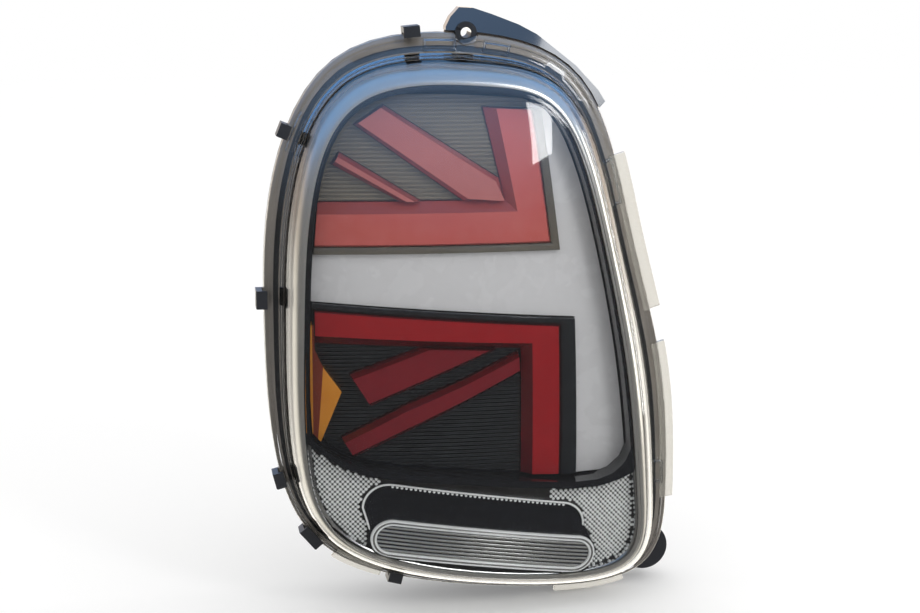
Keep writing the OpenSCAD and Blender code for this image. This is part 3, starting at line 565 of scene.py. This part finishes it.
# The sloping sides of the light bars get their darker copies, as painted shade.
SIDES = {"upper_corner_bar": upper_painted_shade_side, "upper_wide_diagonal": upper_painted_shade_side,
         "upper_narrow_diagonal": upper_pink_painted_shade_side, "lower_corner_bar": lower_painted_shade_side,
         "lower_wide_diagonal": lower_painted_shade_side, "lower_narrow_diagonal": lower_painted_shade_side}
for node, finish in SIDES.items():
    second_tone(node, finish, is_side)
# The flange faces get the painted sheen of the clear foot over them.
second_tone("rear_housing", flange_painted_sheen, is_flange)
second_tone("rear_housing", polished, is_ear)
# The floor of the silver panel gets the painted shade between the studs.
second_tone("optic_panel", painted_shade_between_studs, is_panel_floor)

# %% [markdown]
# ## Skins drawn through rings
# The cover and the ring behind it are lofts: a section walks round the outline while each of its points
# stays at its own share and height. Ring after ring of points, joined by faces, makes the skin.

# %% A skin through rings of points
SKIN_CRISP_ANGLE = 50


def loft(name, rings, finish, node, tube=False):
    """A closed skin: a tube joins its last ring to its first, else a point closes either end."""
    skin = bmesh.new()
    rows = [[skin.verts.new(p) for p in ring] for ring in rings]
    count = len(rows[0])
    pairs = list(zip(rows, rows[1:])) + ([(rows[-1], rows[0])] if tube else [])
    for upper, lower in pairs:
        for k in range(count):
            m = (k + 1) % count
            skin.faces.new((upper[k], upper[m], lower[m], lower[k]))
    if not tube:
        for row in (rows[0], rows[-1]):
            hub = skin.verts.new(sum((v.co for v in row), Vector()) / count)
            for k in range(count):
                skin.faces.new((hub, row[k], row[(k + 1) % count]))
    bmesh.ops.recalc_face_normals(skin, faces=skin.faces)
    for face in skin.faces:
        face.smooth = True
    for edge in skin.edges:
        edge.smooth = edge.calc_face_angle(0) < math.radians(SKIN_CRISP_ANGLE)
    mesh = bpy.data.meshes.new(name)
    skin.to_mesh(mesh)
    skin.free()
    return finish_piece(add_object(name, mesh), finish, node)


def walk(section):
    """Rings for a section given as (share, height) pairs."""
    return [[on_dome(x, z, rise) for x, z in outline(share)] for share, rise in section]


RING_SECTION = [(0.655, 0.4), (0.66, 8), (0.665, 11.5), (0.685, 14.4), (0.71, 16.4), (0.75, 18),
                (0.81, 19.2), (0.87, 20), (0.93, 20.4), (1, 20.2), (1, 18.7), (0.93, 18.8),
                (0.88, 18.4), (0.84, 17.6), (0.8, 16.5), (0.77, 15.2), (0.75, 13.5), (0.745, 11.5),
                (0.745, 0.4)]
loft("surround_ring_skin", walk(RING_SECTION), satin, "surround_ring", tube=True)
print("ring drawn")

# %% [markdown]
# ## The clear cover
# The cover has a foot with two ridges, a steep wall, a round shoulder and a crowned face, all 2.5 mm
# thick. A notch in its foot clears the screw boss of the top ear.

# %% Cover
CROWN = 9
SHOULDER = 25
COVER_WALL = 2.5
FACE_STEPS = [0.985, 0.97, 0.94, 0.88, 0.8, 0.7, 0.58, 0.45, 0.3, 0.15]
OUTER_SECTION = [(1, 25.5), (0.985, 25.35), (0.96, 25), (0.92, 24.75), (0.86, 24.4), (0.8, 24),
                 (0.73, 23.1), (0.66, 21.8), (0.59, 19.7), (0.53, 17), (0.49, 14), (0.46, 11),
                 (0.435, 7.5), (0.415, 5.2), (0.4, 4.6), (0.38, 3.9), (0.35, 3.6), (0.16, 3.6),
                 (0.145, 3.9), (0.125, 4.8), (0.1, 5.05), (0.05, 5.05), (0.02, 4.8), (0, 4.2), (0, 0.1)]
INNER_SECTION = [(0.5, 0.1), (0.52, 2), (0.545, 7), (0.575, 11), (0.6, 14), (0.63, 16), (0.68, 18.6),
                 (0.74, 20.2), (0.8, 21.3), (0.86, 22), (0.93, 22.4), (1, 22.5)]
EAR_HOLE = Vector((-1.5, 145))
NOTCH_RADIUS = 5.85
LIFT = 0.1


def crown(size):
    """Height of the face where the crease is drawn in to a size."""
    return SHOULDER + CROWN * (1 - size * size)


def face_ring(size, rise):
    """The crease drawn in to a size, at a height over the dome."""
    return [on_dome(x, z, rise) for x, z in shrunk(outline(1), size)]


def notched(ring):
    """Pushes the foot clear of the screw boss."""
    moved = []
    for p in ring:
        away = Vector((p.x, p.z)) / MM - EAR_HOLE
        if 0.01 < away.length < NOTCH_RADIUS:
            away *= NOTCH_RADIUS / away.length
            p = Vector(((EAR_HOLE.x + away.x) * MM, p.y, (EAR_HOLE.y + away.y) * MM))
        moved.append(p)
    return moved


rings = [face_ring(size, crown(size) + LIFT) for size in reversed(FACE_STEPS)]
rings += [notched(ring) for ring in walk(OUTER_SECTION + INNER_SECTION)]
rings += [face_ring(size, crown(size) - COVER_WALL) for size in FACE_STEPS]
loft("clear_cover", rings, clear, "outer_lens")
print("cover drawn with", len(rings), "rings")

# %% [markdown]
# The cover also carries flat tabs that reach past the rim. Each is a plate between a line of spots inside
# the rim and one outside it, given a lower and an upper height over the dome, with its edges rounded.

# %% Tabs of the cover
TABS = [(6.42, 7.5, 1), (4.86, 6.15, 0.75), (3.33, 3.85, 0.65), (1.92, 2.28, 0.5)]
TAB_STEPS = 24
TAB_ROOT, TAB_REACH = -3, 6
TAB_LOW, TAB_HIGH = 0.5, 3
TAB_ROUNDING = 0.35
SOFT_ANGLE = 35
NEARBY = 0.02


def rim_at(t, share=0.0, away=0.0):
    """Spot at step t of the outline, moved outwards by a distance."""
    points = guide_points(share)
    before, after = Vector(curve_point(points, t - NEARBY)), Vector(curve_point(points, t + NEARBY))
    along = (after - before).normalized()
    return (before + after) / 2 + Vector((along.y, -along.x)) * away


def soften(piece, width):
    """Rounds the sharp edges and shades the rest smooth."""
    round_edges(piece, width * MM, SOFT_ANGLE).harden_normals = True
    for face in piece.data.polygons:
        face.use_smooth = True


def slab(name, near, far, low, high, finish, node):
    """A plate between two lines of spots and between two heights over the dome."""
    skin = bmesh.new()
    rows = [[skin.verts.new(on_dome(p.x, p.y, rise)) for p in line]
            for line, rise in ((near, low), (far, low), (far, high), (near, high))]
    for row, other in zip(rows, rows[1:] + rows[:1]):
        for k in range(len(row) - 1):
            skin.faces.new((row[k], row[k + 1], other[k + 1], other[k]))
    for end in (0, -1):
        skin.faces.new([row[end] for row in rows])
    bmesh.ops.recalc_face_normals(skin, faces=skin.faces)
    mesh = bpy.data.meshes.new(name)
    skin.to_mesh(mesh)
    skin.free()
    piece = add_object(name, mesh)
    soften(piece, TAB_ROUNDING)
    return finish_piece(piece, finish, node)


for start, stop, reach in TABS:
    steps = [start + (stop - start) * k / TAB_STEPS for k in range(TAB_STEPS + 1)]
    slab("clear_tab_%d" % round(start * 100), [rim_at(t, away=TAB_ROOT) for t in steps],
         [rim_at(t, away=TAB_REACH * reach) for t in steps], TAB_LOW, TAB_HIGH, tinted, "outer_lens")
print("tabs:", len(TABS))

# %% [markdown]
# Low trays are moulded on the foot of the cover, two of them beside the screw boss. A tray is a patch of
# the rim with a smaller patch left out of its middle, so its four loops of spots make a closed tube.

# %% Trays of the cover
TRAYS = [(8.78, 8.99), (9.19, 9.41), (7.2, 7.5), (5, 5.2), (10.47, 10.76)]
TRAY_STEPS = 14
TRAY_WALL = 0.018
TRAY_FOOT, TRAY_TOP = 3, 5.5
TRAY_ROUNDING = 0.25


def patch(start, stop, low_share, high_share):
    """Closed loop round a patch of the rim."""
    steps = [start + (stop - start) * k / TRAY_STEPS for k in range(TRAY_STEPS + 1)]
    return [rim_at(t, low_share) for t in steps] + [rim_at(t, high_share) for t in reversed(steps)]


for start, stop in TRAYS:
    outside = patch(start, stop, 0.1, 0.36)
    hollow = patch(start + TRAY_WALL, stop - TRAY_WALL, 0.16, 0.3)
    loops = [(outside, TRAY_FOOT), (outside, TRAY_TOP), (hollow, TRAY_TOP), (hollow, TRAY_FOOT)]
    rings = [[on_dome(p.x, p.y, rise) for p in spots] for spots, rise in loops]
    tray = loft("clear_tray_%d" % round(start * 100), rings, clear, "outer_lens", tube=True)
    soften(tray, TRAY_ROUNDING)
print("trays:", len(TRAYS))

# %% [markdown]
# ## The reversing lens
# The lens at the foot is a pill of clear plastic with two rounded ridges round its edge. The edge is a
# section walked round a capsule, and the rings in the groove between the ridges get a darker grey as
# painted shade.

# %% Double rim of the reversing lens
PILL_A, PILL_B, PILL_RADIUS = Vector((-42.5, -101.5)), Vector((51, -116)), 10.5
ROOT_A, ROOT_B, SLEEVE_RADIUS = Vector((-44, -85.2)), Vector((42.2, -99.5)), 11.5
EDGE_SECTION = [(10.5, 16.4), (10.5, 17.4), (10.4, 17.85), (10.15, 18.2), (9.8, 18.35), (9.45, 18.2),
                (9.2, 17.85), (9, 17.65), (8.8, 17.8), (8.5, 18.1), (8.15, 18.25), (7.8, 18.15),
                (7.5, 17.8), (7.35, 17.3), (7.3, 16.4)]
GROOVE = range(5, 9)


def capsule(a, b, radius, bend=40, straight=40):
    """Closed loop of spots round a capsule."""
    along = (b - a).normalized()
    side = Vector((-along.y, along.x))
    spots = []
    for middle, other, first, hand in ((b, a, -90, 1), (a, b, 90, -1)):
        for k in range(bend + 1):
            turn = math.radians(first + 180 * k / bend)
            spots.append(middle + (along * math.cos(turn) + side * math.sin(turn)) * radius)
        spots += [middle.lerp(other, k / straight) + side * radius * hand for k in range(1, straight)]
    return spots


edge_rings = [[on_dome(p.x, p.y, rise) for p in capsule(PILL_A, PILL_B, radius)]
              for radius, rise in EDGE_SECTION]
lens_edge = loft("lens_edge", edge_rings, silvered, "reversing_lens", tube=True)
# The groove rings get the painted shade.
lens_edge.data.materials.append(groove_painted_shade.material)
for face in lens_edge.data.polygons:
    if face.index // len(edge_rings[0]) in GROOVE:
        face.material_index = 1
print("rings in the lens's rim:", len(edge_rings))

# %% [markdown]
# Fine half-round ribs run along the lens. They are a grid of points whose height follows a row of arcs,
# and the grid keeps how high each point is on its rib, as the attribute that the ribbed finish reads to
# place its painted highlight along each crest.

# %% Ribs of the reversing lens
RIBS, ROWS_PER_RIB, COLUMNS = 7, 10, 60
RIBBED_RADIUS = 7.35
RIB_FOOT, RIB_HEIGHT = 16.9, 0.75
axis = (PILL_B - PILL_A).normalized()
across = Vector((-axis.y, axis.x))
ribs = bmesh.new()
grid, crests = [], []
for j in range(RIBS * ROWS_PER_RIB + 1):
    v = RIBBED_RADIUS * (2 * j / (RIBS * ROWS_PER_RIB) - 1)
    reach = (PILL_B - PILL_A).length / 2 + math.sqrt(max(RIBBED_RADIUS ** 2 - v * v, 0))
    crest_here = math.sin(math.pi * (j % ROWS_PER_RIB) / ROWS_PER_RIB)
    row = []
    for k in range(COLUMNS + 1):
        spot = (PILL_A + PILL_B) / 2 + axis * reach * (2 * k / COLUMNS - 1) + across * v
        row.append(ribs.verts.new(on_dome(spot.x, spot.y, RIB_FOOT + RIB_HEIGHT * crest_here)))
        crests.append(crest_here)
    grid.append(row)
for row, other in zip(grid, grid[1:]):
    for k in range(COLUMNS):
        ribs.faces.new((row[k], row[k + 1], other[k + 1], other[k]))
for face in ribs.faces:
    face.smooth = True
bmesh.ops.recalc_face_normals(ribs, faces=ribs.faces)
if sum(face.normal.y for face in ribs.faces) > 0:
    bmesh.ops.reverse_faces(ribs, faces=ribs.faces)
ribs_mesh = bpy.data.meshes.new("lens_ribs")
ribs.to_mesh(ribs_mesh)
ribs.free()
ribs_mesh.attributes.new("crest", "FLOAT", "POINT").data.foreach_set("value", crests)
finish_piece(add_object("lens_ribs", ribs_mesh), ribbed, "reversing_lens")
print("ribs on the lens:", RIBS)

# %% [markdown]
# ## Studs on the silver panel
# The silver panel beside the reversing lens is covered with small staggered studs that scatter light.
# Hundreds of equal studs are a job for Geometry Nodes: Python only decides where they stand, and the
# node tree puts a stud on each spot, turns it along the dome and makes it real.

# %% Node tree that plants studs
def planting_tree():
    """Nodes that put a stud on each spot, in a size that varies a little."""
    tree = bpy.data.node_groups.new("plant_studs", "GeometryNodeTree")
    for name, kind in (("Geometry", "NodeSocketGeometry"), ("Stud Width", "NodeSocketFloat"),
                       ("Stud Height", "NodeSocketFloat"), ("Seed", "NodeSocketInt"),
                       ("Finish", "NodeSocketMaterial")):
        tree.interface.new_socket(name, in_out="INPUT", socket_type=kind)
    tree.interface.new_socket("Geometry", in_out="OUTPUT", socket_type="NodeSocketGeometry")
    add, link = tree.nodes.new, tree.links.new
    start, end = add("NodeGroupInput"), add("NodeGroupOutput")
    stud = add("GeometryNodeMeshUVSphere")
    stud.inputs["Segments"].default_value, stud.inputs["Rings"].default_value = 8, 5
    stud.inputs["Radius"].default_value = 1
    outward = add("GeometryNodeInputNamedAttribute")
    outward.data_type = "FLOAT_VECTOR"
    outward.inputs["Name"].default_value = "outward"
    turn = add("FunctionNodeAlignRotationToVector")
    turn.axis = "Z"
    vary = add("FunctionNodeRandomValue")
    vary.data_type = "FLOAT"
    vary.inputs[2].default_value, vary.inputs[3].default_value = 0.92, 1.05
    size, scaled = add("ShaderNodeCombineXYZ"), add("ShaderNodeVectorMath")
    scaled.operation = "SCALE"
    plant, real = add("GeometryNodeInstanceOnPoints"), add("GeometryNodeRealizeInstances")
    finish, smooth = add("GeometryNodeSetMaterial"), add("GeometryNodeSetShadeSmooth")
    link(start.outputs["Geometry"], plant.inputs["Points"])
    link(stud.outputs["Mesh"], plant.inputs["Instance"])
    link(outward.outputs[0], turn.inputs["Vector"])
    link(turn.outputs[0], plant.inputs["Rotation"])
    link(start.outputs["Stud Width"], size.inputs["X"])
    link(start.outputs["Stud Width"], size.inputs["Y"])
    link(start.outputs["Stud Height"], size.inputs["Z"])
    link(start.outputs["Seed"], vary.inputs["Seed"])
    link(size.outputs[0], scaled.inputs[0])
    link(vary.outputs[1], scaled.inputs["Scale"])
    link(scaled.outputs[0], plant.inputs["Scale"])
    link(plant.outputs[0], real.inputs[0])
    link(real.outputs[0], smooth.inputs["Geometry"])
    link(smooth.outputs[0], finish.inputs["Geometry"])
    link(start.outputs["Finish"], finish.inputs["Material"])
    link(finish.outputs[0], end.inputs[0])
    return tree


PLANTER = planting_tree()


def plant(name, spots, rise, width, height, finish, node):
    """Studs on the dome at flat spots, as one plain mesh."""
    mesh = bpy.data.meshes.new(name + "_spots")
    mesh.from_pydata([on_dome(p.x, p.y, rise) for p in spots], [], [])
    outward = mesh.attributes.new("outward", "FLOAT_VECTOR", "POINT")
    for k, p in enumerate(spots):
        outward.data[k].vector = (on_dome(p.x, p.y, rise) - DOME_CENTRE).normalized()
    holder = add_object(name + "_spots", mesh)
    modifier = holder.modifiers.new("studs", "NODES")
    modifier.node_group = PLANTER
    values = {"Stud Width": width * MM, "Stud Height": height * MM, "Seed": 4, "Finish": finish.material}
    for item in PLANTER.interface.items_tree:
        if item.in_out == "INPUT" and item.name in values:
            modifier[item.identifier] = values[item.name]
    bpy.context.view_layer.update()
    whole = bpy.data.meshes.new_from_object(holder.evaluated_get(bpy.context.evaluated_depsgraph_get()))
    whole.name = name
    bpy.data.objects.remove(holder)
    return finish_piece(add_object(name, whole), finish, node)


print("planting tree ready")

# %% [markdown]
# The studs keep to the free part of the panel: inside its turned-up edge, below the dark bar, and away
# from the sleeve and the lens. A last row of round beads runs along the top of the black sleeve.

# %% Studs and beads
SILL = [(-94, -40), (-86.5, -46.6), (-78, -54.5), (-68.2, -61.5), (-54.8, -67.2), (-35.7, -70.2),
        (-4.6, -73.2), (20.6, -76), (47.8, -78.4), (62.2, -78), (72, -75.6), (78.5, -72.5), (83, -64),
        (87, -53), (96, -44)]
SILL_GAP, SLEEVE_GAP, LENS_GAP = 1.6, 2.3, 1.3
FLANK_REACH = 11.4
SLEEVE_LEFT, SLEEVE_RIGHT, SLEEVE_FOOT = -47, 37, -96
LENS_LEFT, LENS_RIGHT, LENS_MIDDLE = -40, 52, -108
FIRST_STUD = Vector((-90, -48))
STUD_ROWS, STUD_COLUMNS = 72, 84
PITCH, ROW_STEP = 2.5, 1.36
STUD_WIDTH, STUD_HEIGHT = 0.92, 0.8
BEADS, BEAD_INSET, BEAD_RISE = 38, 0.1, 14.2
BEAD_WIDTH, BEAD_HEIGHT = 0.75, 0.65
panel_edge = [Vector(p) for p in outline(1.125, 180)]


def from_line(p, a, b):
    """Distance of a flat spot from the line between two others."""
    share = max(0, min(1, (p - a).dot(b - a) / (b - a).length_squared))
    return (p - a.lerp(b, share)).length


def is_below_sill(p):
    return any(a[0] <= p.x < b[0] and p.y < a[1] + (b[1] - a[1]) * (p.x - a[0]) / (b[0] - a[0]) - SILL_GAP
               for a, b in zip(SILL, SILL[1:]))


def is_free(p):
    """Whether a stud has room at a spot of the panel."""
    over_sleeve = SLEEVE_LEFT < p.x < SLEEVE_RIGHT and p.y > SLEEVE_FOOT
    under_lens = LENS_LEFT < p.x < LENS_RIGHT and p.y < LENS_MIDDLE
    return (is_below_sill(p) and not over_sleeve and not under_lens and is_inside(p, panel_edge)
            and from_line(p, ROOT_A, ROOT_B) > SLEEVE_RADIUS + SLEEVE_GAP
            and from_line(p, PILL_A, PILL_B) > PILL_RADIUS + LENS_GAP
            and from_line(p, ROOT_A, PILL_A) > FLANK_REACH
            and from_line(p, ROOT_B, PILL_B) > FLANK_REACH)


staggered = [FIRST_STUD + Vector((PITCH * (k + 0.5 * (j % 2)), -ROW_STEP * j))
             for j in range(STUD_ROWS) for k in range(STUD_COLUMNS)]
spots = [p for p in staggered if is_free(p)]
plant("panel_studs", spots, PANEL_FLOOR, STUD_WIDTH, STUD_HEIGHT, stud_silver, "optic_panel")
side = Vector((ROOT_A.y - ROOT_B.y, ROOT_B.x - ROOT_A.x)).normalized()
beads = [ROOT_A.lerp(ROOT_B, k / BEADS) + side * (SLEEVE_RADIUS - BEAD_INSET) for k in range(BEADS + 1)]
plant("sleeve_beads", beads, BEAD_RISE, BEAD_WIDTH, BEAD_HEIGHT, stud_silver, "optic_panel")
print("studs:", len(spots), "beads:", len(beads))

# %% [markdown]
# A half-round line of silver closes the studded panel against the sleeve. Its path is the upper part of
# the capsule round the sleeve's root, with a tail at each end that runs down to the lens, and a small
# ring of points is carried along it.

# %% Silver line round the sleeve
TRIM_RISE, TAIL_CLIMB = 14.6, 0.16
TRIM_WIDTH, TRIM_HEIGHT = 0.55, 0.5
TAIL_STEPS, TRIM_SIDES = 5, 10
RIGHT_TAIL, LEFT_TAIL = 38, 166
tilt = math.degrees(math.atan2(ROOT_B.y - ROOT_A.y, ROOT_B.x - ROOT_A.x))
trim_reach = SLEEVE_RADIUS + 1.1


def turned(turn):
    """The way out from a middle at a turn in degrees, counted from the sleeve's right end."""
    angle = math.radians(turn + tilt)
    return Vector((math.cos(angle), math.sin(angle)))


def tail(end, foot):
    """Places that lead from an end of the line down to a spot beside the lens."""
    spot, outward, rise = end
    return [(spot.lerp(foot, k / TAIL_STEPS), outward, rise + TAIL_CLIMB * k)
            for k in range(1, TAIL_STEPS + 1)]


path = [(ROOT_B, turn) for turn in range(-8, 90, 7)]
path += [(ROOT_B.lerp(ROOT_A, k / 24), 90) for k in range(25)]
path += [(ROOT_A, turn) for turn in range(97, 190, 7)]
places = [(middle + turned(turn) * trim_reach, turned(turn), TRIM_RISE) for middle, turn in path]
right_foot = PILL_B + turned(RIGHT_TAIL) * (PILL_RADIUS + 1)
left_foot = PILL_A + turned(LEFT_TAIL) * (PILL_RADIUS + 1)
places = tail(places[0], right_foot)[::-1] + places + tail(places[-1], left_foot)
rings = []
for middle, away, rise in places:
    ring = []
    for k in range(TRIM_SIDES):
        swing = 2 * math.pi * k / TRIM_SIDES
        spot = middle + away * TRIM_WIDTH * math.cos(swing)
        ring.append(on_dome(spot.x, spot.y, rise + TRIM_HEIGHT * math.sin(swing)))
    rings.append(ring)
loft("sleeve_trim", rings, stud_silver, "optic_panel")
print("trim rings:", len(rings))

# %% [markdown]
# ## Floor, world and lamps
# A pale floor catches the shadow, and a white world lights every side evenly. Clear plastic shows what it
# mirrors, though, and plain white all round would lay a haze over the dark pieces behind the cover. So
# the floor is hidden from mirrored rays and from rays that the plastic bends.

# %% Floor
FLOOR_REACH = 3
FLOOR_GAP = 0.5 * MM
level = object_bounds()[0].z - FLOOR_GAP
floor_mesh = bpy.data.meshes.new("floor")
floor_mesh.from_pydata([(-FLOOR_REACH, -FLOOR_REACH, level), (FLOOR_REACH, -FLOOR_REACH, level),
                        (FLOOR_REACH, FLOOR_REACH, level), (-FLOOR_REACH, FLOOR_REACH, level)],
                       [], [(0, 1, 2, 3)])
floor = add_object("floor", floor_mesh)
pale = Finish("pale_floor", base_color=(1.0, 1.0, 1.0), roughness=0.6, specular_ior_level=0.0)
pale.set(roughness=pale.noise(3, 2) * 0.1 + 0.55)
floor_mesh.materials.append(pale.material)
floor.visible_glossy = False
floor.visible_transmission = False
print("floor at", round(level, 4), "m")

# %% [markdown]
# The world asks each ray what it has been through. A ray straight from the camera, or one that a dull
# surface has scattered, meets plain white. A mirrored ray meets soft tones that change with its height
# and side: blue above, brown and cream behind the lamp, dark in front. They are strong for a ray that the
# outside of the cover mirrors, and weak for one that has been through clear plastic on its way.

# %% World
world = bpy.data.worlds.new("studio")
bpy.context.scene.world = world
studio = Shader(world)
direction = studio.node("ShaderNodeTexCoord", {}, {}, "Generated")
depth = studio.node("ShaderNodeSeparateXYZ", {}, {0: direction}, "Y")
height = studio.node("ShaderNodeSeparateXYZ", {}, {0: direction}, "Z")


def rising(value, low, high):
    """0 up to a low value, 1 from a high one on, and a slope between them."""
    return studio.node("ShaderNodeMath", {"operation": "MULTIPLY", "use_clamp": True},
                       {0: value - low, 1: 1 / (high - low)})


def layered(lowest, *bands):
    """A colour, and above it others, each with the two heights between which it takes over."""
    colour = lowest
    for low, high, above in bands:
        colour = studio.blend(rising(height, low, high), colour, above)
    return colour


def has_been(kind):
    """1 for a ray that has met at least one surface of a kind."""
    return studio.node("ShaderNodeLightPath", {}, {}, kind + " Depth") > 0.5


behind = rising(depth, -0.1, 0.25)
weak = studio.blend(behind,
                    layered((0.05, 0.048, 0.046), (-0.25, 0.1, (0.11, 0.108, 0.11)),
                            (0.3, 0.55, (0.1, 0.22, 0.44))),
                    layered((1.0, 0.94, 0.84), (-0.12, 0.02, (0.46, 0.37, 0.29)),
                            (0.12, 0.4, (0.09, 0.26, 0.56))))
strong = studio.blend(behind,
                      layered((0.2, 0.2, 0.21), (0.12, 0.62, (1.0, 1.6, 2.6))),
                      layered((2.2, 2.1, 1.9), (-0.12, 0.02, (1.3, 1.1, 0.95)),
                              (0.12, 0.4, (0.35, 0.75, 1.4))))
tones = studio.blend(has_been("Transmission"), strong, weak)
plain = studio.node("ShaderNodeMath", {"operation": "MAXIMUM"},
                    {0: 1 - has_been("Glossy"), 1: has_been("Diffuse")})
glow = studio.node("ShaderNodeBackground", {}, {"Color": studio.blend(plain, tones, (1, 1, 1)),
                                                "Strength": 1})
studio.feed(studio.tree.nodes.new("ShaderNodeOutputWorld").inputs["Surface"], glow)
world.cycles.sampling_method = "NONE"
print("world has", len(studio.tree.nodes), "nodes")

# %% [markdown]
# Two lamps add what an even world can't: a tall strip at the right draws a bright line along the edges
# that face it, and a small bright square in front puts one glint on the upper corner of the face.

# %% Lamps
def lamp(name, place, size, power, colour):
    """A rectangular lamp that looks at the origin."""
    data = bpy.data.lights.new(name, "AREA")
    data.shape, data.size, data.size_y = "RECTANGLE", *size
    data.energy, data.color = power, colour
    made = add_object(name, data)
    made.location = place
    made.rotation_mode = "QUATERNION"
    made.rotation_quaternion = (-Vector(place)).to_track_quat("-Z", "Y")


lamp("right_strip", (1.4, 0.15, 0.1), (0.12, 1.0), 3, (1.0, 0.98, 0.95))
lamp("front_square", (0.55, -0.95, 0.66), (0.2, 0.3), 1.6, (1.0, 1.0, 1.0))
bpy.context.scene.view_settings.view_transform = "Standard"
print("lamps set")
